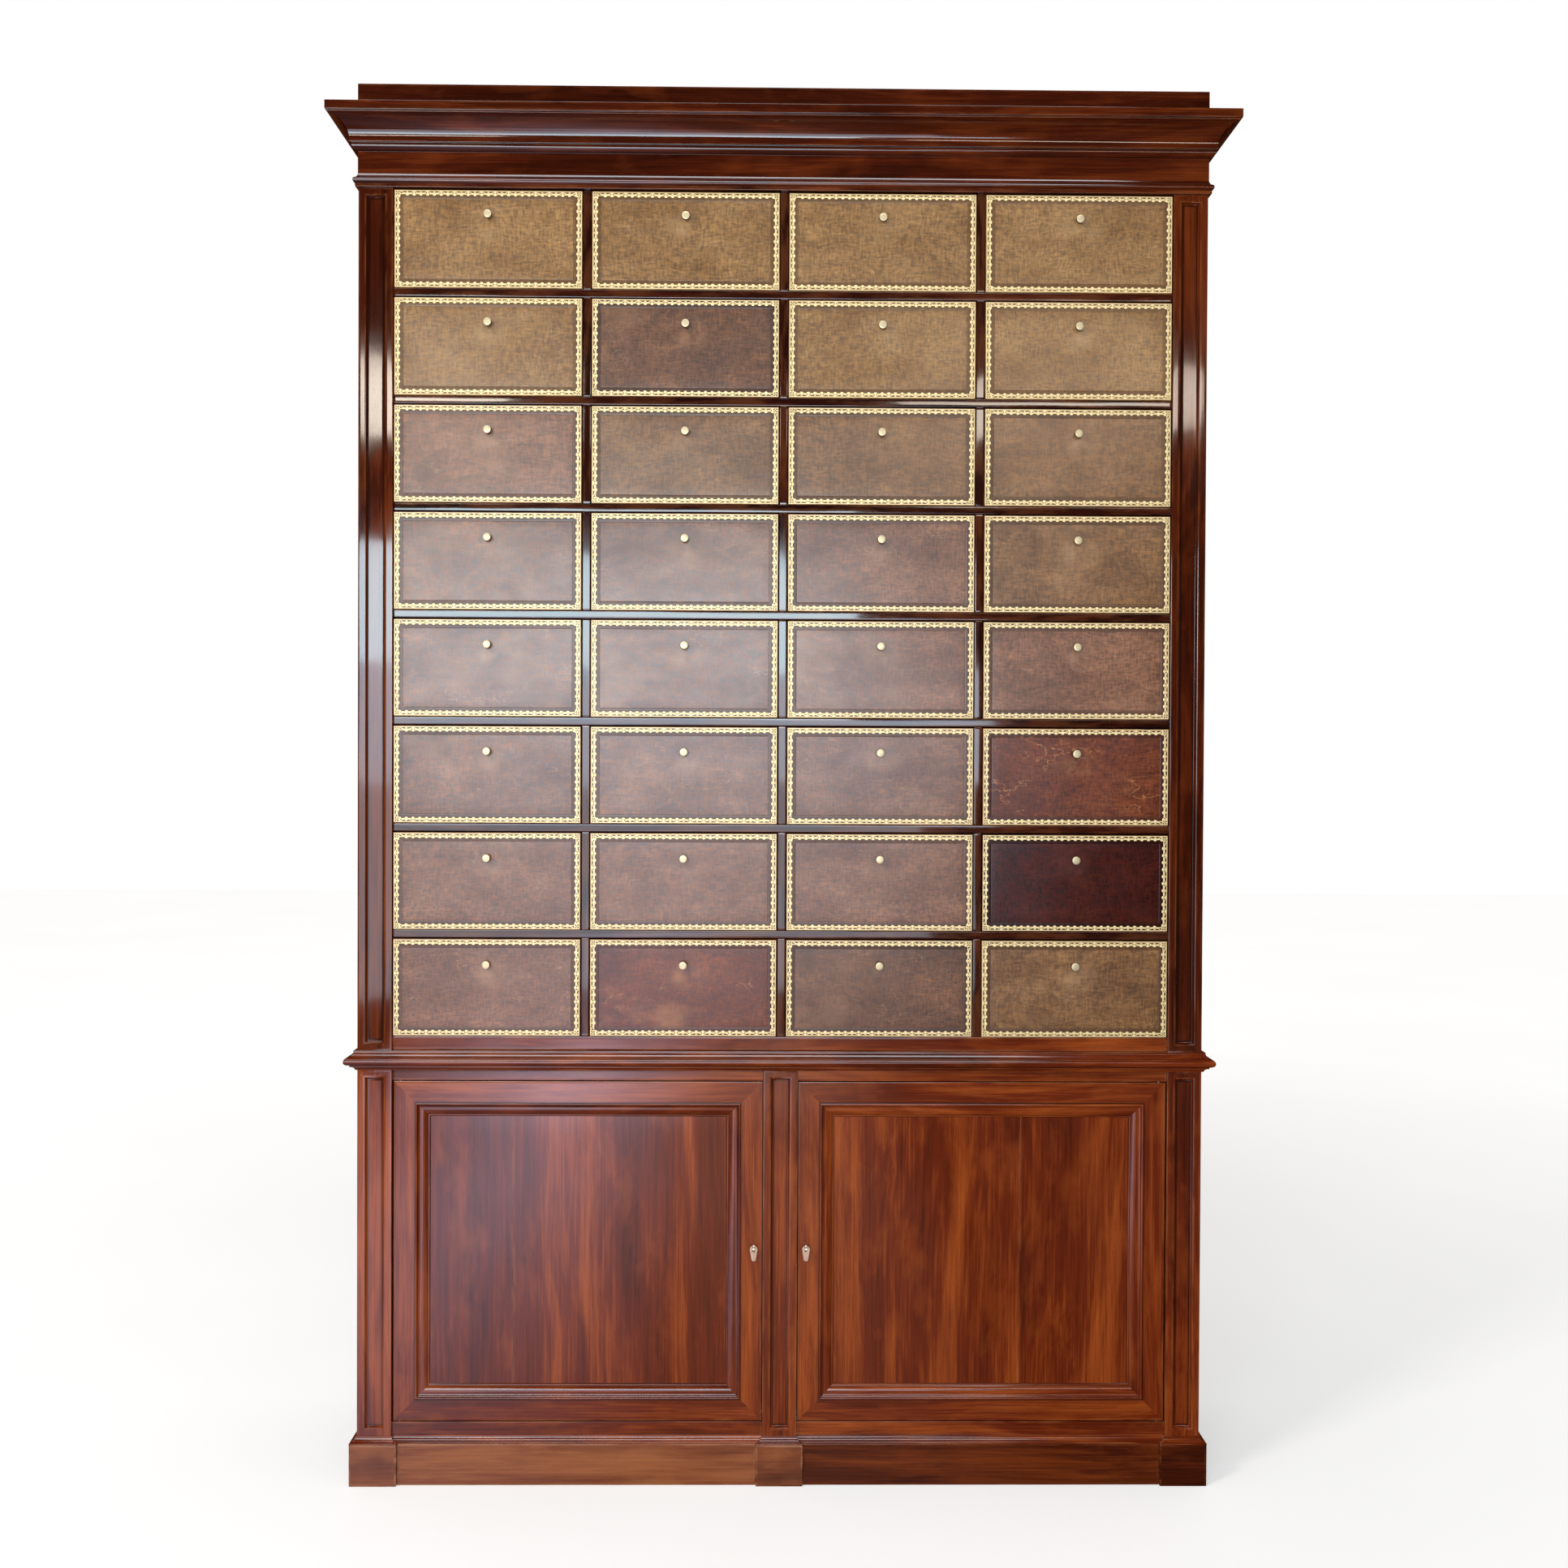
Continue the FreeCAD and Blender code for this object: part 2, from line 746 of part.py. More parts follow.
def key():
    """Shank, collar, bit at its inner end, and the blade that the bow hangs on."""
    tip = door_back - lock_wall / 2
    start = rail_front - collar_gap - collar_thickness
    shank = Part.makeCylinder(shank_radius, tip - start, key_point(start), OUT * -1)
    collar = Part.makeCylinder(collar_radius, collar_thickness, key_point(start), OUT * -1)
    axis = key_point(0)
    half_bit = bit_thickness / 2
    middle = door_back - lock_depth / 2
    bit_y = (middle - bit_length / 2, middle + bit_length / 2)
    bit = block((axis.x - half_bit, axis.x + half_bit), bit_y, (axis.z - bit_reach, axis.z))
    pin_y = rail_front - bow_pin_out
    half_blade = blade_width / 2
    blade_x = (axis.x - half_blade, axis.x + half_blade)
    blade = block(blade_x, (pin_y, start), (axis.z - blade_round, axis.z + blade_round))
    hub = Part.makeCylinder(blade_round, blade_width, Vector(blade_x[0], pin_y, axis.z), ACROSS)
    eye_radius = bow_pin_radius + running_fit
    eye = Part.makeCylinder(eye_radius, blade_width, Vector(blade_x[0], pin_y, axis.z), ACROSS)
    whole = shank.multiFuse([collar, bit, blade, hub]).removeSplitter()
    return [whole.cut(eye)]


def key_bow():
    """A forked head on its pin, with a tongue that tapers to a rounded end and hangs down."""
    axis = key_point(0)
    pin_y = rail_front - bow_pin_out
    centre = Vector(axis.x, pin_y - bow_thickness / 2, axis.z)
    tip = centre - UP * bow_drop
    head = Part.makeCylinder(bow_head_radius, bow_thickness, centre, OUT * -1)
    end = Part.makeCylinder(bow_tip_radius, bow_thickness, tip, OUT * -1)
    tongue_outline = [
        (-bow_tip_radius, -bow_drop),
        (bow_tip_radius, -bow_drop),
        (bow_head_radius, 0),
        (-bow_head_radius, 0),
    ]
    tongue = section_face(tongue_outline, centre, ACROSS, UP).extrude(OUT * -bow_thickness)
    plate = head.multiFuse([tongue, end]).removeSplitter()
    half_slot = blade_width / 2 + fork_play
    slot_x = (axis.x - half_slot, axis.x + half_slot)
    slot_y = (pin_y - bow_thickness, pin_y + bow_thickness)
    plate = plate.cut(block(slot_x, slot_y, (axis.z - fork_depth, axis.z + 2 * bow_head_radius)))
    reach = bow_pin_share * bow_head_radius
    pin = Part.makeCylinder(bow_pin_radius, 2 * reach, Vector(axis.x - reach, pin_y, axis.z), ACROSS)
    return [plate.fuse(pin).removeSplitter()]


def knob(face_y):
    """A turned brass knob on the middle of a front, with a stem into the board."""
    edge_y = face_y - knob_flange - knob_neck
    rim_y = edge_y - knob_edge
    neck_y = face_y - knob_flange - knob_neck / 2
    waist = ((knob_neck_radius, neck_y), (knob_radius - knob_edge / 2, edge_y))
    dome_base = knob_radius - knob_edge / 4
    ball = (dome_base ** 2 + knob_dome ** 2) / (2 * knob_dome)
    lean = math.asin(dome_base / ball) / 2
    tip_y = rim_y - knob_dome
    dome = (ball * math.sin(lean), tip_y + ball * (1 - math.cos(lean)))
    steps = [
        (0, face_y + knob_stem_length),
        (knob_stem_radius, face_y + knob_stem_length),
        (knob_stem_radius, face_y),
        (knob_flange_radius, face_y),
        (knob_flange_radius, face_y - knob_flange),
        waist,
        ((knob_radius, edge_y - knob_edge / 2), (dome_base, rim_y)),
        (dome, (0, tip_y)),
    ]
    half = section_face(steps, Vector(0, 0, 0), ACROSS, OUT * -1)
    return half.revolve(Vector(0, 0, 0), OUT, 360)


def carton(row, column):
    """One filing box: tray, front board, leather facing and knob. Rows count down from the top."""
    middle = -half_inner + column * column_pitch + hole_width / 2
    low = grid_bottom + (rows - 1 - row) * row_pitch + carton_rest_play
    high = low - carton_rest_play + hole_height - carton_top_play
    half = hole_width / 2 - carton_side_play
    tray = half - carton_tray_inset
    face = grid_front - carton_proud
    board_front = face + leather
    board_back = board_front + carton_front
    rear = back_boards_front - carton_rear_play
    walls = (low + carton_wall, high - tray_below_top)
    inner = tray - carton_wall
    side_y = (board_back, rear)
    turned = knob(face)
    turned.translate(Vector(middle, 0, high - knob_drop))
    stem_hole = Part.makeCylinder(
        knob_stem_radius + running_fit,
        knob_stem_length + running_fit,
        Vector(middle, face, high - knob_drop),
        OUT * -1,
    )
    facing = block((middle - half, middle + half), (face, board_front), (low, high))
    board = block((middle - half, middle + half), (board_front, board_back), (low, high))
    return [
        block((middle - tray, middle + tray), side_y, (low, low + carton_wall)),
        block((middle - tray, middle - inner), side_y, walls),
        block((middle + inner, middle + tray), side_y, walls),
        block((middle - inner, middle + inner), (rear - carton_wall, rear), walls),
        board.cut(stem_hole),
        facing.cut(stem_hole),
        turned,
    ]


def build():
    """Makes and writes every group."""
    os.makedirs("parts", exist_ok=True)
    fixed = {
        "plinth": plinth(),
        "base_moulding": base_moulding(),
        "lower_pilasters": lower_pilasters(),
        "upper_pilasters": upper_pilasters(),
        "case_sides": case_sides(),
        "rails": rails(),
        "pivot_pins": pivot_pins(),
        "cupboard_floor": cupboard_floor(),
        "cupboard_shelf": cupboard_shelf(),
        "back_boards": back_boards(),
        "waist_board": waist_board(),
        "pigeonhole_shelves": pigeonhole_shelves(),
        "pigeonhole_uprights": pigeonhole_uprights(),
        "frieze": frieze(),
        "cornice": cornice(),
        "attic": attic(),
    }
    for name, pieces in fixed.items():
        keep(name, pieces)
    paired = {
        "door_{}_frame": door_frame(),
        "door_{}_panel": door_panel(),
        "door_{}_fittings": door_fittings(),
        "bolt_{}": bolt(),
        "key_{}": key(),
        "key_bow_{}": key_bow(),
    }
    for name, pieces in paired.items():
        keep(name.format("left"), pieces)
        keep(name.format("right"), [flipped(piece) for piece in pieces])
    for row in range(rows):
        for column in range(columns):
            keep(f"carton_r{row + 1}c{column + 1}", carton(row, column))


build()
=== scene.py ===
import logging
import math
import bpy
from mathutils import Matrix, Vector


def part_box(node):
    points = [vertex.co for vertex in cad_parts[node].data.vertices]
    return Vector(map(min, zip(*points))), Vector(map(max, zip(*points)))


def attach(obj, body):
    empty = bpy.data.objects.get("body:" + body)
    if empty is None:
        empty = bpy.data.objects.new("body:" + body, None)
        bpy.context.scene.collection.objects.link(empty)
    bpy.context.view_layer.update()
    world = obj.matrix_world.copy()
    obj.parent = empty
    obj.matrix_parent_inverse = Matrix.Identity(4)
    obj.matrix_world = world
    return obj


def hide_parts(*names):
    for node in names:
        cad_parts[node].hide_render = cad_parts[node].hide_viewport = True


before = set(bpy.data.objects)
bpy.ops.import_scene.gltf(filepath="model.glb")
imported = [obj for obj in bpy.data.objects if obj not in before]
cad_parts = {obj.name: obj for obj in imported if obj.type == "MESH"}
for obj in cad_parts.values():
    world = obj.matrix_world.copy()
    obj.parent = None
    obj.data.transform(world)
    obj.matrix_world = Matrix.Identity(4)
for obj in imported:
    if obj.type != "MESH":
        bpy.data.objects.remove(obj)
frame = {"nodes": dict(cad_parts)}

import zlib
from dataclasses import dataclass, field
from enum import Enum, IntEnum
from typing import ClassVar

import bpy
import numpy as np
from mathutils import Euler, Matrix, Vector

# Looks of a tall mahogany cartonnier. Lengths are millimetres, and become metres where a mesh is made.
Array = np.ndarray
Colour = tuple[float, float, float, float]
Fade = tuple[float, float, float, float]
Triple = tuple[float, float, float]
Span = tuple[float, float]
Shell = tuple[Array, list[Array]]
Socket = bpy.types.NodeSocket
Material = bpy.types.Material
Piece = bpy.types.Object
MM = 0.001
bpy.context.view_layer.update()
ACROSS, OUT, UP = np.array([1.0, 0.0, 0.0]), np.array([0.0, -1.0, 0.0]), np.array([0.0, 0.0, 1.0])
GRAIN, RUB = "grain", "rub"
LOW, HIGH = 0, 1
DOOR_GAP = 1.5
CREASE = 0.9
CORNER_TURN = 0.45
LONG_SIDE = 15.0
MOST_EASED, BOARD_EASED = 0.4, 0.3
RUB_REACH = 5.0
ARRIS_RUB = np.array([0.0, 0.5, 1.0, 0.5, 0.0])
FLUSH = 0.3
log = logging.getLogger("cartonnier")


class Axis(Enum):
    """A direction of the frame, such as the way that a board's grain runs."""

    X = 0
    Y = 1
    Z = 2


class Hand(IntEnum):
    """A side of the object, as seen from the front."""

    LEFT = 0
    RIGHT = 1

    def word(self) -> str:
        """The side as the names of nodes have it."""
        return self.name.lower()


def paint(*parts: int) -> Colour:
    """Turns a screen colour, in parts of 255, into the opaque linear colour that a shader takes."""
    share = np.array(parts) / 255.0
    return (*np.where(share <= 0.04045, share / 12.92, ((share + 0.055) / 1.055) ** 2.4).tolist(), 1.0)


def dice(seed: str) -> np.random.Generator:
    """Random draws that are the same for a seed at every run."""
    return np.random.default_rng(zlib.crc32(seed.encode()))


def scatter(seed: str, reach: float = 9000.0) -> Array:
    """A place of its own, within reach each way, in the figure of the timber or hide for each seed."""
    return dice(seed).uniform(-reach, reach, 3)


def node_box(node: str) -> Array:
    """The lowest and highest corner of a node of the frame, as two rows in millimetres."""
    return np.array([list(corner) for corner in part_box(node)]) / MM


def limit(node: str, end: int, axis: Axis, beyond: float = 0.0) -> float:
    """A field that is read, when the plan is made, from one end of a node's box, and what lies beyond it."""
    return field(default_factory=lambda: node_box(node)[end, axis.value] + beyond)


@dataclass(frozen=True)
class Plan:
    """The levels, widths and depths that the pieces share."""

    half_case: float = limit("upper_pilasters", HIGH, Axis.X)
    half_inner: float = limit("rails", HIGH, Axis.X)
    half_plinth: float = limit("plinth", HIGH, Axis.X)
    half_middle: float = 33.0
    side: float = 22.0
    front: float = limit("upper_pilasters", LOW, Axis.Y)
    post_back: float = limit("upper_pilasters", HIGH, Axis.Y)
    rail_front: float = limit("rails", LOW, Axis.Y)
    rail_back: float = limit("rails", HIGH, Axis.Y)
    grid_front: float = limit("pigeonhole_uprights", LOW, Axis.Y)
    boards_front: float = limit("pigeonhole_uprights", HIGH, Axis.Y)
    back: float = limit("plinth", HIGH, Axis.Y)
    plinth_top: float = limit("plinth", HIGH, Axis.Z)
    base_top: float = limit("base_moulding", HIGH, Axis.Z)
    opening_bottom: float = limit("door_left_frame", LOW, Axis.Z, -DOOR_GAP)
    opening_top: float = limit("door_left_frame", HIGH, Axis.Z, DOOR_GAP)
    waist_bottom: float = limit("waist_board", LOW, Axis.Z)
    waist_top: float = limit("waist_board", HIGH, Axis.Z)
    grid_bottom: float = limit("pigeonhole_uprights", LOW, Axis.Z)
    grid_top: float = limit("pigeonhole_uprights", HIGH, Axis.Z)
    cornice_bottom: float = limit("cornice", LOW, Axis.Z)
    cornice_top: float = limit("cornice", HIGH, Axis.Z)
    attic_top: float = limit("attic", HIGH, Axis.Z)

    def half_inside(self) -> float:
        """Half the width between the case's sides."""
        return self.half_case - self.side

    def projection(self) -> float:
        """How far the plinth and its moulding stand out from the case."""
        return self.half_plinth - self.half_case

    def stages(self) -> tuple[Span, Span]:
        """The limits of the lower and the upper stage."""
        return (self.plinth_top, self.waist_bottom), (self.waist_top, self.grid_top)

    def round_case(self, z: float) -> Array:
        """The path round the case's two sides and its front, at one height."""
        x, front, back = self.half_case, self.front, self.back
        return np.array([(-x, back, z), (-x, front, z), (x, front, z), (x, back, z)])


@dataclass(frozen=True)
class Profile:
    """A closed outline with how rubbed each point is: above 0 on an arris, below 0 in a hollow corner that
    takes dirt and painted shade.
    """

    points: Array
    rub: Array

    def soiled(self, joints: list[Span], reach: float) -> "Profile":
        """The same outline with dirt and painted shade at each point that lies within reach of a joint."""
        away = np.linalg.norm(self.points[:, None] - np.array(joints), axis=2).min(1)
        return Profile(self.points, np.where(away < reach, -1.0, self.rub))


def arc(start: Array, middle: Array, end: Array, count: int) -> Array:
    """Points of the circle through three points, without the first.

    The centre is as far from each of the three, and the angle runs from start to end past the middle.

    Args:
        start, middle, end: the three points.
        count: how many steps the arc is drawn in.

    Returns:
        The points, one per row.
    """
    a, b, c = (np.asarray(point, float) for point in (start, middle, end))
    centre = np.linalg.solve(2 * np.array([b - a, c - a]), [b @ b - a @ a, c @ c - a @ a])
    angle = [math.atan2(p[1] - centre[1], p[0] - centre[0]) for p in (a, b, c)]
    past = (angle[1] - angle[0]) % math.tau
    sweep = (angle[2] - angle[0]) % math.tau
    sweep = sweep if past < sweep else sweep - math.tau
    angles = angle[0] + sweep * np.linspace(0.0, 1.0, count + 1)[1:]
    return centre + np.linalg.norm(a - centre) * circle(angles)


def circle(angles: Array) -> Array:
    """Points at angles round a circle of radius 1."""
    return np.stack([np.cos(angles), np.sin(angles)], -1)


def outline(steps: list[tuple], fineness: int = 7) -> Array:
    """A closed outline from corners and arcs.

    Args:
        steps: each a corner, or a pair of an arc's middle point and its end point.
        fineness: how many steps each arc is drawn in.

    Returns:
        The points, one per row.
    """
    rows = [np.array([steps[0]], float)]
    for step in steps[1:]:
        bent = isinstance(step[0], tuple)
        rows.append(arc(rows[-1][-1], step[0], step[1], fineness) if bent else np.array([step], float))
    return np.concatenate(rows)


def facing(points: Array) -> float:
    """1 for an outline that runs anticlockwise and -1 for one that runs clockwise, by the sign of its area."""
    after = np.roll(points, -1, 0)
    return np.sign((points[:, 0] * after[:, 1] - after[:, 0] * points[:, 1]).sum())


def eased(points: Array, ease: float) -> Profile:
    """Rounds the corners of an outline and marks them: arrises for wear with a painted highlight, hollow
    corners for dirt and painted shade.

    A corner becomes three points of the parabola between the cuts on its two sides. Long sides get one more
    point where the rubbing ends.

    Args:
        points: the closed outline.
        ease: how far from the corner the rounding starts, at most.

    Returns:
        The eased outline.
    """
    into = points - np.roll(points, 1, 0)
    onward = np.roll(into, -1, 0)
    run_in, run_on = np.linalg.norm(into, axis=1), np.linalg.norm(onward, axis=1)
    turn = np.arctan2(into[:, 0] * onward[:, 1] - into[:, 1] * onward[:, 0], (into * onward).sum(1))
    corner = np.abs(turn) > CORNER_TURN
    cut = np.minimum(ease, MOST_EASED * np.minimum(run_in, run_on))[:, None]
    way_in, way_on = into / run_in[:, None], onward / run_on[:, None]
    low, high = points - way_in * cut, points + way_on * cut
    middle = np.where(corner[:, None], (low + 2 * points + high) / 4, points)
    stages = np.stack([points - way_in * RUB_REACH, low, middle, high, points + way_on * RUB_REACH], 1)
    long_in, long_on = (corner & (run > LONG_SIDE) for run in (run_in, run_on))
    kept = np.stack([long_in, corner, np.ones_like(corner), corner, long_on], 1)
    # Convex corners get +1 (wear and painted highlight), hollow ones -1 (dirt and painted shade).
    rub = np.where(corner, np.sign(turn) * facing(points), 0.0)[:, None] * ARRIS_RUB
    return Profile(stages[kept], rub[kept])


def lattice(rows: int, columns: int, wrap: bool = False) -> Array:
    """The corner numbers of the four-sided faces between the points of a grid.

    Args:
        rows, columns: how many points the grid has each way.
        wrap: True where each row closes on itself.

    Returns:
        One face per row.
    """
    steps = np.arange(columns if wrap else columns - 1)
    row, column = np.meshgrid(np.arange(rows - 1), steps, indexing="ij")
    after = (column + 1) % columns
    low, high = row * columns, (row + 1) * columns
    return np.stack([low + column, low + after, high + after, high + column], -1).reshape(-1, 4)


def tube(rings: int, width: int) -> list[Array]:
    """The faces of a closed tube: its wall from ring to ring, and a flat face over the first and the last."""
    first = np.arange(width)[None]
    return [lattice(rings, width, wrap=True), first[:, ::-1], first + (rings - 1) * width]


def linked(name: str, data: bpy.types.ID) -> Piece:
    """Makes an object and puts it into the scene.

    Args:
        name: the object's name.
        data: its mesh, light or camera.

    Returns:
        The object.
    """
    made = bpy.data.objects.new(name, data)
    bpy.context.scene.collection.objects.link(made)
    return made


@dataclass
class Shells:
    """Shells gathered as whole arrays until they become the mesh of one piece."""

    points: list[Array] = field(default_factory=list)
    grain: list[Array] = field(default_factory=list)
    rub: list[Array] = field(default_factory=list)
    faces: list[Array] = field(default_factory=list)
    count: int = 0

    def add(self, points: Array, faces: list[Array], grain: Array, rub: Array) -> None:
        """Adds one closed shell, turned outwards.

        Its volume is summed over the triangles of each face's fan. Where it is below zero the shell faces
        inwards, so its faces are reversed.

        Args:
            points: the corners.
            faces: arrays of corner numbers, one array for each number of sides.
            grain: each corner's place in the figure of its material.
            rub: how rubbed each corner is; below 0 it darkens: dirt on leather, dirt and painted shade on
                timber, painted shade on metal.
        """
        fans = [points[group] for group in faces]
        volume = sum(np.einsum("ij,ikj->", fan[:, 0], np.cross(fan[:, 1:-1], fan[:, 2:])) for fan in fans)
        self.faces += [(group if volume > 0 else group[:, ::-1]) + self.count for group in faces]
        self.points.append(points)
        self.grain.append(grain)
        self.rub.append(rub)
        self.count += len(points)

    def add_rings(self, rings: Array, rub: Array | float, basis: Array, seed: str) -> None:
        """Adds a shell of closed rings, one after another, with a flat face over the first and the last.

        Args:
            rings: the points, by ring, place in the ring and axis.
            rub: how rubbed they are; below 0, painted shade, with dirt too on timber.
            basis: the directions along, across and through the grain, one per row.
            seed: names the place in the timber.
        """
        points = rings.reshape(-1, 3)
        worn = np.broadcast_to(rub, rings.shape[:2]).reshape(-1)
        self.add(points, tube(*rings.shape[:2]), points @ basis.T + scatter(seed), worn)

    def piece(self, name: str, material: Material, body: str, slot: str | None, *nodes: str) -> None:
        """Makes the piece, smooth but for its creases, and ties it to the frame.

        Args:
            name: the piece's name.
            material: its finish.
            body: the body of the frame that it rides on.
            slot: a material slot's name; not used.
            nodes: the nodes of the frame that it stands for.
        """
        points, grain, rub = (np.concatenate(part) for part in (self.points, self.grain, self.rub))
        faces = [face for group in self.faces for face in group.tolist()]
        mesh = bpy.data.meshes.new(name)
        mesh.from_pydata((points * MM).tolist(), [], faces, shade_flat=False)
        mesh.attributes.new(GRAIN, "FLOAT_VECTOR", "POINT").data.foreach_set("vector", (grain * MM).ravel())
        mesh.attributes.new(RUB, "FLOAT", "POINT").data.foreach_set("value", rub)
        mesh.set_sharp_from_angle(angle=CREASE)
        mesh.materials.append(material)
        made = linked(name, mesh)
        made.modifiers.new("even_shading", "WEIGHTED_NORMAL").keep_sharp = True
        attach(made, body)
        if nodes:
            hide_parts(*nodes)
        log.info("%s: %d faces, on %s", name, len(faces), body)

    def fixed(self, name: str, material: Material, slot: str = "mahogany") -> None:
        """Makes a piece of the case that stands for the node of the same name."""
        self.piece(name, material, "case", slot, name)


def board(work: Shells, x: Span, y: Span, z: Span, seed: str, ease: float = 1.0,
          along: Axis | None = None) -> None:
    """Adds an eased board: a rounded rectangle carried along the grain and drawn in at both ends.

    At each end the section is smaller by the same parabola that rounds its corners.

    Args:
        work: takes the shell.
        x, y, z: the board's limits.
        seed: names its place in the timber.
        ease: how far from an arris the rounding starts.
        along: the way the grain runs, or None for the longest side.
    """
    low, high = np.array([x, y, z], float).T
    size = high - low
    axis = int(np.argmax(size)) if along is None else along.value
    order = [axis, (axis + 1) % 3, (axis + 2) % 3]
    length, half = size[axis], size[order[1:]] / 2
    ease = min(ease, BOARD_EASED * size.min())
    section = eased(np.array([[-1, -1], [1, -1], [1, 1], [-1, 1]]) * half, ease)
    station = np.array([0.0, ease / 4, ease, min(RUB_REACH, BOARD_EASED * length)])
    inset = np.array([ease, ease / 4, 0.0, 0.0])
    station = np.concatenate([station, length - station[::-1]])
    inset, end_rub = (np.concatenate([end, end[::-1]]) for end in (inset, ARRIS_RUB[1:]))
    rings = np.empty((len(station), len(section.points), 3))
    rings[..., axis] = low[axis] + station[:, None]
    rings[..., order[1:]] = section.points * (1 - inset[:, None, None] / half) + (low + high)[order[1:]] / 2
    work.add_rings(rings, np.maximum(end_rub[:, None], section.rub), np.eye(3)[order], seed)


def mitred(work: Shells, path: Array, section: Profile, upwards: Array, seed: str,
           closed: bool = False, names: tuple[int, ...] | None = None) -> None:
    """Adds one length for each straight of a path, all with one section, mitred where they meet.

    A point of the section lies at the corner, plus its first measure along the mitre, which is the sum of the
    two sides' normals over one plus their product, plus its second measure upwards.

    Args:
        work: takes the shells.
        path: the corners, one per row.
        section: measures out from the path and up from it.
        upwards: the direction of the second measure.
        seed: names the timber.
        closed: True where the path returns to its start.
        names: a number for each length's timber, or None to count them.
    """
    ends = np.roll(path, -1, 0) if closed else path[1:]
    starts = path if closed else path[:-1]
    ways = (ends - starts) / np.linalg.norm(ends - starts, axis=1)[:, None]
    normals = np.cross(ways, upwards)
    before, after = np.roll(normals, 1, 0), np.roll(normals, -1, 0)
    if not closed:
        before[0], after[-1] = normals[0], normals[-1]
    for i, (start, end, way, normal) in enumerate(zip(starts, ends, ways, normals)):
        rings = []
        for corner, other in ((start, before[i]), (end, after[i])):
            mitre = (normal + other) / (1 + normal @ other)
            rings.append(corner + section.points[:, :1] * mitre + section.points[:, 1:] * upwards)
        name = names[i] if names else i
        work.add_rings(np.stack(rings), section.rub, np.array([way, normal, upwards]), f"{seed}_{name}")


def turned(work: Shells, section: Array, centre: Array, axis: Array, seed: str, sides: int = 28,
           rub: Array | float = 0.0) -> None:
    """Adds a turned shape: each radius swept once round the axis at its height.

    Args:
        work: takes the shell.
        section: the half section from one end to the other, a radius and a height per row.
        centre: the point at height 0.
        axis: the direction of the heights.
        seed: names the metal.
        sides: how many points each circle has.
        rub: how rubbed each circle is; below 0 it is darkened by painted shade.
    """
    across = np.cross(axis, OUT if np.allclose(np.abs(axis), UP) else UP)
    angles = np.linspace(0.0, math.tau, sides, endpoint=False)
    ring = circle(angles) @ np.array([across, np.cross(axis, across)])
    radii, heights = section.T[:, :, None, None]
    rings = centre + heights * axis + radii * ring
    work.add_rings(rings, np.broadcast_to(rub, len(section))[:, None], np.eye(3), seed)


def plate(work: Shells, shape: Array, y: Span, seed: str, ease: float = 0.5) -> None:
    """Adds a flat plate with rounded edges: its outline at both faces, drawn in there along its normals.

    Args:
        work: takes the shell.
        shape: the outline in X and Z.
        y: the two faces.
        seed: names the metal.
        ease: how far the edges are rounded.
    """
    way = np.roll(shape, -1, 0) - np.roll(shape, 1, 0)
    normal = facing(shape) * np.stack([way[:, 1], -way[:, 0]], -1) / np.linalg.norm(way, axis=1)[:, None]
    inset = np.array([ease, ease / 4, 0.0])
    depth = np.concatenate([y[0] + inset[::-1], y[1] - inset])
    inset = np.concatenate([inset, inset[::-1]])
    flat = shape - inset[:, None, None] * normal
    rings = np.stack([flat[..., 0], np.broadcast_to(depth[:, None], flat.shape[:2]), flat[..., 1]], -1)
    work.add_rings(rings, np.where(inset > 0, 1.0, 0.0)[:, None], np.eye(3), seed)


@dataclass(frozen=True)
class Signal:
    """What a node puts out, with short ways to carry it on through further nodes."""

    sketch: "Sketch"
    socket: Socket

    def __add__(self, other: object) -> "Signal":
        """The sum with another signal or a number."""
        return self.sketch.sums("ADD", self, other)

    def __sub__(self, other: object) -> "Signal":
        """The difference from another signal or a number."""
        return self.sketch.sums("SUBTRACT", self, other)

    def __mul__(self, other: object) -> "Signal":
        """The product with another signal or a number."""
        return self.sketch.sums("MULTIPLY", self, other)

    def moved(self, operation: str, by: object) -> "Signal":
        """One step of arithmetic on a vector, part by part."""
        return self.sketch.out("VectorMath", {0: self, 1: by}, operation=operation)

    def noise(self, scale: Triple, detail: float, output: str = "Fac", roughness: float = 0.6) -> "Signal":
        """Cloudy noise at this place.

        Args:
            scale: its cells per metre along each axis.
            detail: how many finer sizes it has.
            output: Fac for a value, Color for a vector.
            roughness: how much the finer sizes count.

        Returns:
            The noise.
        """
        place = self.moved("MULTIPLY", scale)
        inputs = {"Vector": place, "Scale": 1.0, "Detail": detail, "Roughness": roughness}
        return self.sketch.out("TexNoise", inputs, output)

    def warped(self, scale: Triple, amount: Triple) -> "Signal":
        """This place moved about by soft noise, by up to about half the amount each way."""
        even = self.noise(scale, 1.5, "Color", 0.5).moved("SUBTRACT", (0.5, 0.5, 0.5))
        return self.moved("ADD", even.moved("MULTIPLY", amount))

    def fade(self, low: float, high: float, first: object = 0.0, last: object = 1.0) -> "Signal":
        """Carries the value from low to high over to first to last, and no further."""
        inputs = {"Value": self, "From Min": low, "From Max": high, "To Min": first, "To Max": last}
        return self.sketch.out("MapRange", inputs)

    def mixed(self, share: object, other: object, kind: str = "MIX") -> "Signal":
        """This colour with a share of another."""
        return self.sketch.blend(share, self, other, kind)


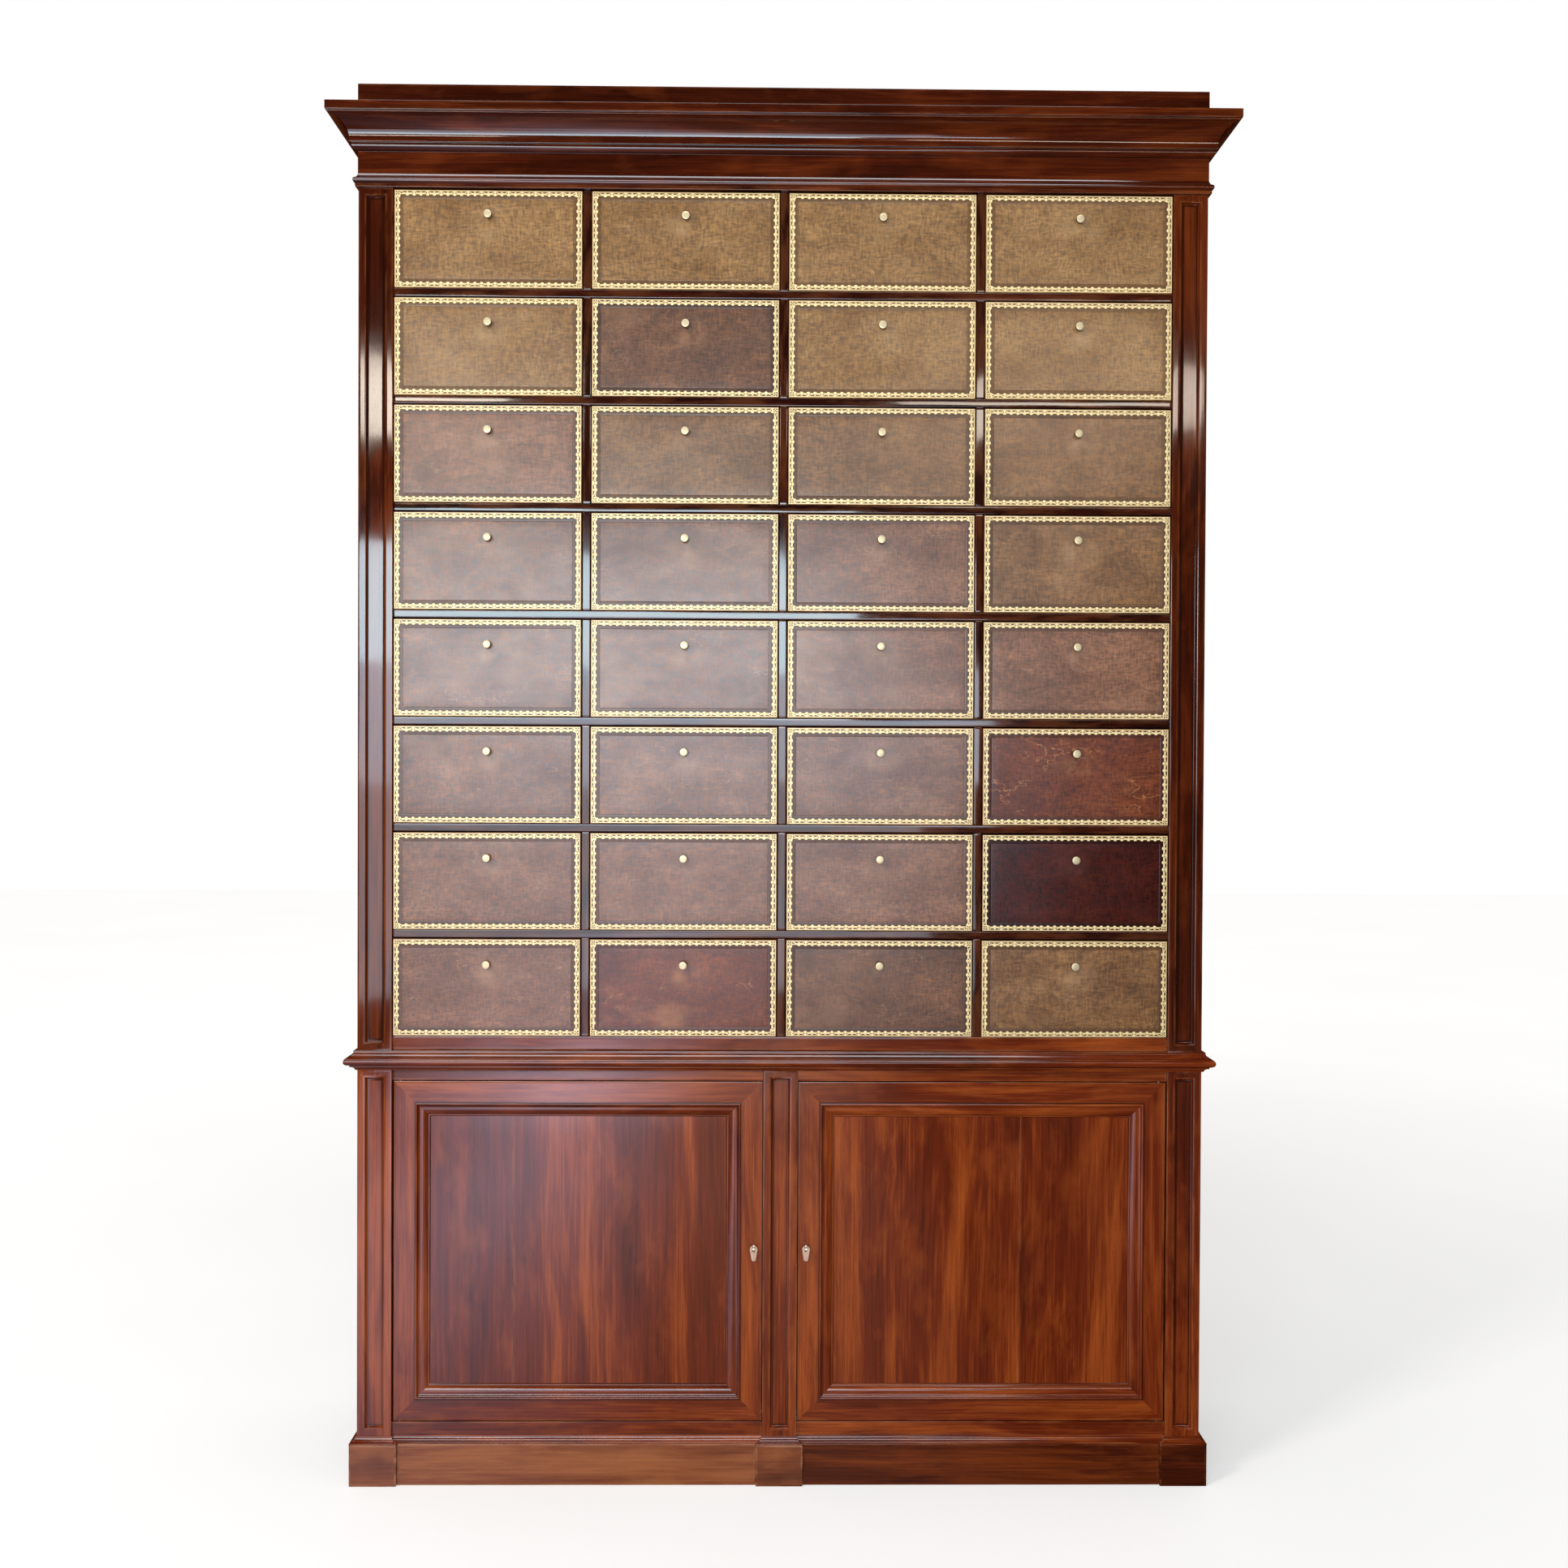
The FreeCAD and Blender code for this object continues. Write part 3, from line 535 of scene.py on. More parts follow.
@dataclass(frozen=True)
class Sketch:
    """A node tree with short ways to add nodes and join them."""

    tree: bpy.types.NodeTree

    def feed(self, node: bpy.types.Node, inputs: dict) -> None:
        """Fills a node's sockets.

        Args:
            node: the node.
            inputs: a signal or a value for each socket, by name or number.
        """
        for name, value in inputs.items():
            if isinstance(value, Signal):
                self.tree.links.new(value.socket, node.inputs[name])
            else:
                node.inputs[name].default_value = value

    def node(self, kind: str, inputs: dict | None = None, **settings: object) -> bpy.types.Node:
        """Adds a node.

        Args:
            kind: the node's type, after the word ShaderNode.
            inputs: a signal or a value for each socket.
            settings: its other settings.

        Returns:
            The node.
        """
        made = self.tree.nodes.new("ShaderNode" + kind)
        for name, value in settings.items():
            setattr(made, name, value)
        self.feed(made, inputs or {})
        return made

    def out(self, kind: str, inputs: dict | None = None, output: int | str = 0, **settings: object) -> Signal:
        """Adds a node, as above, and takes one of its outputs."""
        return Signal(self, self.node(kind, inputs, **settings).outputs[output])

    def sums(self, operation: str, first: object, second: object = 0.0) -> Signal:
        """One step of arithmetic."""
        return self.out("Math", {0: first, 1: second}, operation=operation)

    def blend(self, share: object, first: object, second: object, kind: str = "MIX") -> Signal:
        """Mixes two colours."""
        inputs = {0: share, 6: first, 7: second}
        return self.out("Mix", inputs, 2, data_type="RGBA", blend_type=kind, clamp_factor=True)

    def attribute(self, name: str, output: str) -> Signal:
        """Reads an attribute of the mesh."""
        return self.out("Attribute", output=output, attribute_name=name)

    def bump(self, height: Signal, strength: float, distance: float, **normal: Signal) -> Signal:
        """The normal of a height, on top of another normal where that is given as Normal."""
        inputs = {"Strength": strength, "Distance": distance, "Height": height, **normal}
        return self.out("Bump", inputs)


def sockets(place: str = "", colour: str = "", value: str = "") -> dict[str, str]:
    """Lists sockets in order with their types, from names with a space between them for each kind."""
    kinds = ((place, "NodeSocketVector"), (colour, "NodeSocketColor"), (value, "NodeSocketFloat"))
    return {name: kind for names, kind in kinds for name in names.split()}


class Effect:
    """A shared effect: a node group with named inputs and outputs, drawn by its subclass."""

    name: ClassVar[str]
    takes: ClassVar[dict[str, str]]
    gives: ClassVar[dict[str, str]]
    sketch: Sketch
    given: list[Signal]

    def group(self) -> bpy.types.NodeTree:
        """Makes the group once, and gives the same one from then on.

        Returns:
            The group.
        """
        found = bpy.data.node_groups.get(self.name)
        if found:
            return found
        tree = bpy.data.node_groups.new(self.name, "ShaderNodeTree")
        for listed, way in ((self.takes, "INPUT"), (self.gives, "OUTPUT")):
            for name, kind in listed.items():
                tree.interface.new_socket(name=name, in_out=way, socket_type=kind)
        self.sketch = Sketch(tree)
        inputs = tree.nodes.new("NodeGroupInput").outputs
        self.given = [Signal(self.sketch, inputs[name]) for name in self.takes]
        self.draw()
        return tree

    def placed(self, sketch: Sketch, finish: object, **given: Signal) -> dict[str, Signal]:
        """Puts the effect into a material.

        Args:
            sketch: the material's tree.
            finish: has the inputs that aren't given, under the same names.
            given: the other inputs.

        Returns:
            The outputs by name.
        """
        inputs = {name: given[name] if name in given else getattr(finish, name) for name in self.takes}
        outputs = sketch.node("Group", inputs, node_tree=self.group()).outputs
        return {name: Signal(sketch, outputs[name]) for name in self.gives}

    def draw(self) -> None:
        """Draws the effect from its inputs, given in the order of takes."""
        raise NotImplementedError

    def give(self, **results: Signal) -> None:
        """Sends what is drawn to the group's outputs."""
        self.sketch.feed(self.sketch.tree.nodes.new("NodeGroupOutput"), results)


class TimberFigure(Effect):
    """Streaks, flame, fibres and pores of sawn timber, with arrises lightened by wear and a painted highlight,
    and hollow corners darkened by dirt and painted shade.
    """

    name = "timber_figure"
    takes = sockets("grain", "dark middle light rubbed", "streak flame pores rub")
    gives = sockets(colour="colour", value="height")
    DRIFT = ((1.6, 4.0, 4.0), (0.0, 0.14, 0.14))
    BANDS, RIBBONS, FIBRES = (0.8, 9.0, 9.0), (2.0, 60.0, 60.0), (6.0, 330.0, 330.0)
    FLAMES, PORES, PATCHES = (7.0, 16.0, 16.0), (130.0, 2100.0, 2100.0), (11.0, 60.0, 60.0)
    # Near-black of hollow corners and joints: dirt and painted shade.
    GRIME = (0.006, 0.003, 0.002, 1.0)

    def draw(self) -> None:
        """Long noise across the grain makes the bands, finer noise the fibres, and short dashes the pores."""
        grain, dark, middle, light, rubbed, streak, flame, pores, rub = self.given
        place = grain.warped(*self.DRIFT)
        bands = place.noise(self.BANDS, 6.0).fade(0.36, 0.64)
        ribbons = place.noise(self.RIBBONS, 6.0).fade(0.3, 0.7)
        fibres = grain.noise(self.FIBRES, 3.0).fade(0.3, 0.7)
        tone = bands * 0.48 + ribbons * 0.28 + fibres * 0.24
        tone = (tone - 0.5) * streak + 0.5
        colour = dark.mixed(tone.fade(0.05, 0.5), middle).mixed(tone.fade(0.5, 0.95), light)
        colour = colour.mixed(place.noise(self.FLAMES, 3.0).fade(0.52, 0.72) * flame, light)
        dashes = grain.noise(self.PORES, 1.0).fade(0.6, 0.68) * pores
        colour = colour.mixed(dashes * 0.6, dark)
        # Arrises take the rubbed colour in patches: wear, and a painted highlight along them.
        worn = rub.fade(0.0, 1.0) * grain.noise(self.PATCHES, 3.0).fade(0.42, 0.6)
        colour = colour.mixed(worn * 0.75, rubbed)
        # Hollow corners and joints darken towards near-black: dirt, and painted shade where shade falls.
        colour = colour.mixed((rub * -1.0).fade(0.0, 1.0, 0.0, 0.88), self.GRIME)
        self.give(colour=colour, height=fibres * 0.3 - dashes)


class HandlingMarks(Effect):
    """Smears, fine dust and soft swells left by hands and cloths."""

    name = "handling_marks"
    takes = sockets("place", value="polish marks")
    gives = sockets(value="roughness swell")
    SMEARS, SPECKS, SWELL = (4.0, 9.0, 9.0), (240.0, 240.0, 240.0), (5.0, 7.0, 7.0)

    def draw(self) -> None:
        """Two sizes of cloud change the polish, and soft swells bend the reflections."""
        place, polish, marks = self.given
        smears = place.noise(self.SMEARS, 4.0).fade(0.35, 0.7)
        specks = place.noise(self.SPECKS, 2.0).fade(0.62, 0.75)
        roughness = polish + (smears * 0.75 + specks * 0.25) * marks
        self.give(roughness=roughness, swell=place.noise(self.SWELL, 1.0))


class HideGrain(Effect):
    """Bookbinder's leather: clouded dye, brushed mottling, fine cross grain, hair scratches and pale rubs."""

    name = "hide_grain"
    takes = sockets("grain", "dye deep pale", "mottle scuff rub")
    gives = sockets(colour="colour", value="height sheen")
    DRIFT = ((9.0, 9.0, 9.0), (0.03, 0.03, 0.03))
    CLOUDS, BRUSH, SCUFFS = (9.0, 14.0, 9.0), (30.0, 60.0, 30.0), (5.0, 7.0, 5.0)
    WEFT, WARP = (70.0, 260.0, 40.0), (280.0, 60.0, 40.0)
    SCRATCHES, SPARSE, PATCHES = (14.0, 26.0, 14.0), (10.0, 13.0, 10.0), (30.0, 22.0, 30.0)
    CELLS = 850.0
    SOIL = (0.42, 0.38, 0.3, 1.0)

    def draw(self) -> None:
        """Clouds mix the dye, drawn-out noise brushes it, and thin contour lines of noise are the scratches."""
        grain, dye, deep, pale, mottle, scuff, rub = self.given
        place = grain.warped(*self.DRIFT)
        clouds = place.noise(self.CLOUDS, 7.0).fade(0.3, 0.72)
        colour = deep.mixed(clouds, dye).mixed(place.noise(self.BRUSH, 6.0).fade(0.36, 0.66) * mottle, deep)
        weft, warp = (place.noise(scale, 4.0).fade(0.33, 0.67) for scale in (self.WEFT, self.WARP))
        weave = weft * 0.5 + warp * 0.5
        shade = weave.fade(0.2, 0.8, 0.56, 1.36)
        grey = self.sketch.out("CombineXYZ", {0: shade, 1: shade, 2: shade})
        colour = colour.mixed(1.0, grey, "MULTIPLY")
        colour = colour.mixed(place.noise(self.SCUFFS, 4.0).fade(0.56, 0.72, 0.0, 0.55) * scuff, pale)
        contour = self.sketch.sums("ABSOLUTE", place.noise(self.SCRATCHES, 3.0) - 0.5)
        hair = contour.fade(0.003, 0.011, 1.0, 0.0) * grain.noise(self.SPARSE, 2.0).fade(0.52, 0.62) * scuff
        colour = colour.mixed(hair * 0.7, pale)
        worn = rub.fade(0.0, 0.6, 0.0, 0.8) * grain.noise(self.PATCHES, 4.0).fade(0.38, 0.62)
        grime = (rub * -1.0).fade(0.0, 1.0, 0.0, 0.9)
        colour = colour.mixed(worn, pale).mixed(grime, deep.mixed(1.0, self.SOIL, "MULTIPLY"))
        cells = self.sketch.out("TexVoronoi", {"Vector": grain, "Scale": self.CELLS}, "Distance")
        broken = weave.fade(0.2, 0.8, 1.3, 0.6) * clouds.fade(0.0, 1.0, 0.85, 1.15)
        sheen = grime.fade(0.0, 0.9, 1.0, 0.05) * broken
        self.give(colour=colour, height=cells * 0.6 + weave * 0.7, sheen=sheen)


class Tarnish(Effect):
    """Handled metal: bright where it is touched, dull and brown in patches, and darkened by painted shade where
    it is marked below 0.
    """

    name = "tarnish"
    takes = sockets("place", "bright dull", "amount rub")
    gives = sockets(colour="colour", value="dulled height")
    PATCHES, FLECKS = (130.0, 130.0, 130.0), (700.0, 700.0, 700.0)

    def draw(self) -> None:
        """A cloud of patches, broken up by a finer one, takes the colour from bright to dull."""
        place, bright, dull, amount, rub = self.given
        patches = place.noise(self.PATCHES, 4.0).fade(0.42, 0.68)
        flecks = place.noise(self.FLECKS, 2.0).fade(0.4, 0.7)
        stain = patches * flecks.fade(0.0, 1.0, 0.6, 1.0) * amount
        # Points marked below 0 take the dull colour as painted shade: the knobs' sides and the keyholes'
        # floors.
        dulled = self.sketch.sums("MAXIMUM", stain, (rub * -1.0).fade(0.0, 1.0))
        self.give(colour=bright.mixed(dulled, dull), dulled=dulled, height=flecks)


def new_material(name: str) -> tuple[Material, Sketch, bpy.types.Node]:
    """Starts a material.

    Args:
        name: the material's name.

    Returns:
        The material, a sketch of its tree, and its shader.
    """
    made = bpy.data.materials.new(name)
    made.use_nodes = True
    made.node_tree.nodes.clear()
    sketch = Sketch(made.node_tree)
    shader = sketch.node("BsdfPrincipled")
    sketch.node("OutputMaterial", {"Surface": Signal(sketch, shader.outputs[0])})
    return made, sketch, shader


@dataclass(frozen=True)
class Timber:
    """A timber and its polish."""

    name: str
    dark: Colour
    middle: Colour
    light: Colour
    # The rubbed colour lightens the arrises: wear, and a painted highlight.
    rubbed: Colour
    polish: float
    marks: float
    coat: float
    streak: float = 1.0
    flame: float = 0.2
    pores: float = 0.4
    relief: float = 0.02
    swell: float = 0.02
    fibre_depth: ClassVar[float] = 0.0006
    swell_depth: ClassVar[float] = 0.05

    def material(self) -> Material:
        """Makes the material, with the figure along the grain of each board.

        Returns:
            The material.
        """
        made, sketch, shader = new_material(self.name)
        grain, rub = sketch.attribute(GRAIN, "Vector"), sketch.attribute(RUB, "Fac")
        wood = TimberFigure().placed(sketch, self, grain=grain, rub=rub)
        marks = HandlingMarks().placed(sketch, self, place=grain)
        wave = sketch.bump(marks["swell"], self.swell, self.swell_depth)
        normal = sketch.bump(wood["height"], self.relief, self.fibre_depth, Normal=wave)
        sketch.feed(shader, {"Base Color": wood["colour"], "Roughness": marks["roughness"], "Normal": normal})
        sketch.feed(shader, {"IOR": 1.5, "Coat Weight": self.coat, "Coat Roughness": 0.04, "Coat IOR": 1.5})
        sketch.feed(shader, {"Coat Normal": wave})
        return made


@dataclass(frozen=True)
class Hide:
    """A dyed and polished leather."""

    name: str
    dye: Colour
    deep: Colour
    pale: Colour
    mottle: float
    scuff: float
    polish: float = 0.26
    marks: float = 0.1
    relief: float = 0.16
    coat: float = 0.55
    grain_depth: ClassVar[float] = 0.0006

    def material(self) -> Material:
        """Makes the material, with the figure in each skin's own place.

        Returns:
            The material.
        """
        made, sketch, shader = new_material(self.name)
        grain, rub = sketch.attribute(GRAIN, "Vector"), sketch.attribute(RUB, "Fac")
        skin = HideGrain().placed(sketch, self, grain=grain, rub=rub)
        marks = HandlingMarks().placed(sketch, self, place=grain)
        normal = sketch.bump(skin["height"], self.relief, self.grain_depth)
        sketch.feed(shader, {"Base Color": skin["colour"], "Roughness": marks["roughness"], "Normal": normal})
        sketch.feed(shader, {"IOR": 1.52, "Coat Weight": skin["sheen"] * self.coat, "Coat Roughness": 0.22})
        return made


@dataclass(frozen=True)
class Metal:
    """A metal with its tarnish. Roughness and bare metal are given where it is bright and where it is dull."""

    name: str
    bright: Colour
    dull: Colour
    amount: float
    roughness: Span
    bare: Span = (1.0, 1.0)
    relief: float = 0.08
    fleck_depth: ClassVar[float] = 0.0003

    def material(self) -> Material:
        """Makes the material. Where it is dulled it is rougher, and may be less of a metal.

        Returns:
            The material.
        """
        made, sketch, shader = new_material(self.name)
        place = sketch.out("TexCoord", output="Object")
        stain = Tarnish().placed(sketch, self, place=place, rub=sketch.attribute(RUB, "Fac"))
        roughness, bare = stain["dulled"].fade(0.0, 1.0, *self.roughness), self.bare[0]
        if self.bare[1] != bare:
            bare = stain["dulled"].fade(0.0, 1.0, *self.bare)
        normal = sketch.bump(stain["height"], self.relief, self.fleck_depth)
        sketch.feed(shader, {"Base Color": stain["colour"], "Roughness": roughness, "Normal": normal})
        sketch.feed(shader, {"Metallic": bare})
        return made


class Leather(Enum):
    """The leathers and their tones."""

    TAN = Hide("leather_tan", paint(166, 124, 74), paint(126, 86, 42), paint(188, 152, 106), 0.45, 0.35)
    FAWN = Hide("leather_fawn", paint(150, 106, 62), paint(108, 70, 38), paint(176, 137, 98), 0.5, 0.4)
    COCOA = Hide("leather_cocoa", paint(156, 105, 74), paint(104, 63, 42), paint(178, 134, 102), 0.55, 0.6)
    UMBER = Hide("leather_umber", paint(136, 88, 54), paint(84, 49, 29), paint(166, 120, 84), 0.6, 0.6)
    RUSSET = Hide("leather_russet", paint(136, 68, 33), paint(88, 37, 17), paint(182, 124, 76), 0.7, 1.0,
                  polish=0.2, coat=0.3)
    OXBLOOD = Hide("leather_oxblood", paint(84, 27, 13), paint(52, 13, 7), paint(116, 56, 36), 0.5, 0.5,
                   polish=0.16, coat=0.1)


def stock(finish: Timber | Metal) -> Material:
    """A field that holds a finish's material."""
    return field(default_factory=finish.material)


@dataclass(frozen=True)
class Finishes:
    """Every material, made once. A timber's colours are its dark, middle, light and rubbed parts; the rubbed
    colour is wear with a painted highlight on the arrises.
    """

    case: Material = stock(Timber(
        "mahogany_case", paint(28, 7, 3), paint(68, 23, 9), paint(120, 53, 20), paint(134, 72, 38),
        polish=0.05, marks=0.07, coat=0.45, flame=0.35))
    door: Material = stock(Timber(
        "mahogany_door", paint(56, 15, 5), paint(104, 37, 13), paint(162, 77, 28), paint(160, 92, 50),
        polish=0.08, marks=0.1, coat=0.4, streak=1.15, flame=0.35))
    grid: Material = stock(Timber(
        "mahogany_grid", paint(20, 6, 5), paint(44, 15, 9), paint(78, 32, 16), paint(112, 62, 36),
        polish=0.05, marks=0.05, coat=0.55))
    plinth: Material = stock(Timber(
        "mahogany_plinth", paint(64, 27, 13), paint(124, 63, 33), paint(166, 98, 55), paint(180, 126, 88),
        polish=0.28, marks=0.2, coat=0.3, flame=0.5))
    oak: Material = stock(Timber(
        "oak", paint(104, 74, 46), paint(142, 106, 68), paint(172, 136, 92), paint(182, 150, 108),
        polish=0.55, marks=0.2, coat=0.0, pores=1.0, relief=0.2))
    # Brass's dull colour is its tarnish, and also the painted shade on the knobs' sides and in the keyholes.
    brass: Material = stock(Metal(
        "brass", paint(226, 206, 166), paint(76, 54, 32), 0.25, (0.36, 0.55), bare=(0.6, 0.5)))
    key: Material = stock(Metal(
        "key_metal", paint(226, 208, 186), paint(116, 90, 66), 0.5, (0.25, 0.45), bare=(0.7, 0.4)))
    steel: Material = stock(Metal("steel", paint(150, 148, 144), paint(70, 60, 52), 0.5, (0.3, 0.6)))
    gold: Material = stock(Metal(
        "gold_leaf", paint(255, 230, 172), paint(196, 148, 88), 0.4, (0.36, 0.55), bare=(0.3, 0.15)))
    leather: dict[Leather, Material] = field(
        default_factory=lambda: {tone: tone.value.material() for tone in Leather})


def both(*spans: Span) -> list[tuple[Span, int]]:
    """Spans of X left of the middle, each with its opposite on the right and the hand of each."""
    return [(span, Hand.LEFT) for span in spans] + [((-high, -low), Hand.RIGHT) for low, high in spans]


@dataclass(frozen=True)
class Assembly:
    """A sub-assembly: the plan and the finishes that it is built by. Its other fields are its sizes."""

    plan: Plan
    finishes: Finishes

    def build(self) -> None:
        """Builds and dresses its pieces."""
        raise NotImplementedError


@dataclass(frozen=True)
class Plinth(Assembly):
    """Three blocks under the pilasters, boards between them, and boards along the sides and back."""

    block_depth: float = 60.0
    block_ease: float = 1.8
    thickness: float = 24.0
    ease: float = 1.4
    recess: float = 7.0

    def build(self) -> None:
        """Builds and dresses the plinth."""
        plan, finishes = self.plan, self.finishes
        # The left half and the middle block take a lighter mahogany than the right half and the back.
        lighter, dark = Shells(), Shells()
        halves = (lighter, dark)
        z, front = (0.0, plan.plinth_top), plan.front - plan.projection()
        outer, inner = plan.half_plinth, plan.half_inner - plan.projection()
        middle = plan.half_middle + plan.projection()
        block_y = (front, front + self.block_depth)
        board_y = (front + self.recess, front + self.recess + self.thickness)
        side_outer = outer - self.recess
        for x, hand in both((-outer, -inner)):
            board(halves[hand], x, block_y, z, f"plinth_block_{hand}", self.block_ease, Axis.X)
        for x, hand in both((-inner, -middle)):
            board(halves[hand], x, board_y, z, f"plinth_front_{hand}", self.ease)
        for x, hand in both((-side_outer, -side_outer + self.thickness)):
            board(halves[hand], x, (block_y[1], plan.back), z, f"plinth_side_{hand}", self.ease)
        board(lighter, (-middle, middle), block_y, z, "plinth_middle", self.block_ease, Axis.X)
        behind = side_outer - self.thickness
        board(dark, (-behind, behind), (plan.back - self.thickness, plan.back), z, "plinth_back")
        lighter.piece("plinth_faded", finishes.plinth, "case", "mahogany", "plinth")
        dark.piece("plinth_dark", finishes.case, "case", "mahogany")


@dataclass(frozen=True)
class BaseMoulding(Assembly):
    """A small cap moulding round the foot of the case, breaking forward round each pilaster."""

    fillet: float = 2.5
    top: float = 2.0
    ease: float = 0.6

    def build(self) -> None:
        """Builds and dresses the moulding."""
        plan = self.plan
        high, out = plan.base_top - plan.plinth_top, plan.projection()
        hollow = ((out + self.top) / 2 - self.fillet, (high - self.top) / 2)
        section = [(0.0, 0.0), (out, 0.0), (out, self.fillet), (hollow, (self.top, high - self.top)),
                   (self.top, high), (0.0, high)]
        case, inner, middle = -plan.half_case, -plan.half_inner, -plan.half_middle
        left = [(case, plan.back), (case, plan.front), (inner, plan.front), (inner, plan.rail_front),
                (middle, plan.rail_front), (middle, plan.front)]
        right = [(-x, y) for x, y in reversed(left)]
        path = np.array([(x, y, plan.plinth_top) for x, y in left + right])
        work = Shells()
        mitred(work, path, eased(outline(section), self.ease), UP, "base_moulding")
        work.fixed("base_moulding", self.finishes.door)


@dataclass(frozen=True)
class Pilasters(Assembly):
    """Posts with sunk panels: three below, two above, and the lath that the doors close against."""

    margin: float = 14.0
    slope: float = 5.0
    sunk: float = 6.0
    ogee_steps: int = 8
    ease: float = 1.2
    flat: float = 4.0
    arris: float = 0.6
    arris_drop: float = 0.35
    lath: float = 12.0
    lath_half: float = 45.5
    strike: float = 9.0
    strike_play: float = 1.0
    core_ease: float = 0.2

    def post(self, work: Shells, x: Span, z: Span, panel_low: float, back: float, seed: str) -> None:
        """Adds a post: nested rectangles from its back to its face, then down an ogee to the panel's floor.

        The ogee's depth is its share of the slope less an eighth of a full sine of it.

        Args:
            work: takes the shell.
            x, z: the post's limits.
            panel_low: the level that the panel's lower margin is measured from.
            back: how far back it reaches.
            seed: names the timber.
        """
        ease, front, share = self.ease, self.plan.front, np.linspace(0.0, 1.0, self.ogee_steps)
        ogee = self.sunk * (share - np.sin(math.tau * share) / 8)
        ogee[0] = self.arris_drop
        post_inset = np.array([0.0, 0.0, ease / 4, ease, ease + self.flat])
        post_depth = np.array([back - front, ease, ease / 4, 0.0, 0.0])
        inset = np.concatenate([[-self.flat, -self.arris], self.slope * share, [self.slope + self.flat]])
        depth = np.concatenate([post_depth, [0.0, 0.0], ogee, [self.sunk]])
        panel = np.array([x[0] + self.margin, x[1] - self.margin, panel_low + self.margin, z[1] - self.margin])
        sign = np.array([1, -1, 1, -1])
        limits = [np.array([*x, *z]) + post_inset[:, None] * sign, panel + inset[:, None] * sign]
        left, right, low, high = np.concatenate(limits).T
        corners = ((left, low), (right, low), (right, high), (left, high))
        rings = np.stack([np.stack([cx, front + depth, cz], -1) for cx, cz in corners], 1)
        # The ogee's foot at the panel's floor is marked -1: dirt and painted shade in the recess's corner.
        rub = np.concatenate([ARRIS_RUB, ARRIS_RUB[:3], np.zeros(self.ogee_steps - 2), [-1.0, 0.0]])
        work.add_rings(rings, rub[:, None], np.eye(3)[[2, 0, 1]], seed)

    def middle_post(self, work: Shells, z: Span) -> None:
        """Adds the middle post: its panelled front, and the timber behind it round the mortises for the bolts.

        Args:
            work: takes the shells.
            z: the post's limits.
        """
        plan, bolt, seed = self.plan, node_box("bolt_left"), "middle_post"
        split = bolt[LOW, 1] - self.strike_play
        low, high = bolt[LOW, 2] - self.strike_play, bolt[HIGH, 2] + self.strike_play
        half, core = plan.half_middle, plan.half_middle - self.strike
        whole, core = (-half, half), (-core, core)
        self.post(work, whole, z, plan.base_top, split, seed)
        for x, span in ((whole, (z[0], low)), (core, (low, high)), (whole, (high, z[1]))):
            board(work, x, (split, plan.post_back), span, seed, self.core_ease, Axis.Z)

    def build(self) -> None:
        """Builds and dresses both stages."""
        plan, finishes = self.plan, self.finishes
        lower, upper = Shells(), Shells()
        below, above = plan.stages()
        for x, hand in both((-plan.half_case, -plan.half_inner)):
            self.post(lower, x, below, plan.base_top, plan.post_back, f"lower_post_{hand}")
            self.post(upper, x, above, plan.waist_top, plan.post_back, f"upper_post_{hand}")
        self.middle_post(lower, below)
        lath_y = (plan.post_back, plan.post_back + self.lath)
        lath_z = (plan.opening_bottom, plan.opening_top)
        board(lower, (-self.lath_half, self.lath_half), lath_y, lath_z, "stop_lath")
        lower.fixed("lower_pilasters", finishes.door)
        upper.fixed("upper_pilasters", finishes.case)


@dataclass(frozen=True)
class CaseSides(Assembly):
    """Framed sides: stiles, rails between them and sunk panels."""

    member: float = 58.0
    panel: float = 8.0
    sunk: float = 6.0
    tongue: float = 2.0

    def stage(self, work: Shells, hand: Hand, z: Span, panels: int) -> None:
        """Adds one side of one stage.

        Args:
            work: takes the shells.
            hand: which side.
            z: the stage's limits.
            panels: how many panels it has, one above another.
        """
        plan, face = self.plan, -self.plan.half_case
        frame_x = both((face, face + plan.side))[hand][0]
        panel_x = both((face + self.sunk, face + self.sunk + self.panel))[hand][0]
        span = (plan.post_back + self.member, plan.back - self.member)
        panel_y = (span[0] - self.tongue, span[1] + self.tongue)
        opening = (z[1] - z[0] - (panels + 1) * self.member) / panels
        seed = f"side_{hand}_{panels}"
        board(work, frame_x, (plan.post_back, span[0]), z, seed + "_front_stile", along=Axis.Z)
        board(work, frame_x, (span[1], plan.back), z, seed + "_rear_stile", along=Axis.Z)
        for i in range(panels + 1):
            low = z[0] + i * (opening + self.member)
            board(work, frame_x, span, (low, low + self.member), f"{seed}_rail_{i}", along=Axis.Y)
        for i in range(panels):
            low = z[0] + self.member + i * (opening + self.member) - self.tongue
            panel_z = (low, low + opening + 2 * self.tongue)
            board(work, panel_x, panel_y, panel_z, f"{seed}_panel_{i}", along=Axis.Z)

    def build(self) -> None:
        """Builds and dresses both sides."""
        plan = self.plan
        work = Shells()
        for hand in Hand:
            for panels, z in enumerate(plan.stages(), 1):
                self.stage(work, hand, z, panels)
        work.fixed("case_sides", self.finishes.case)


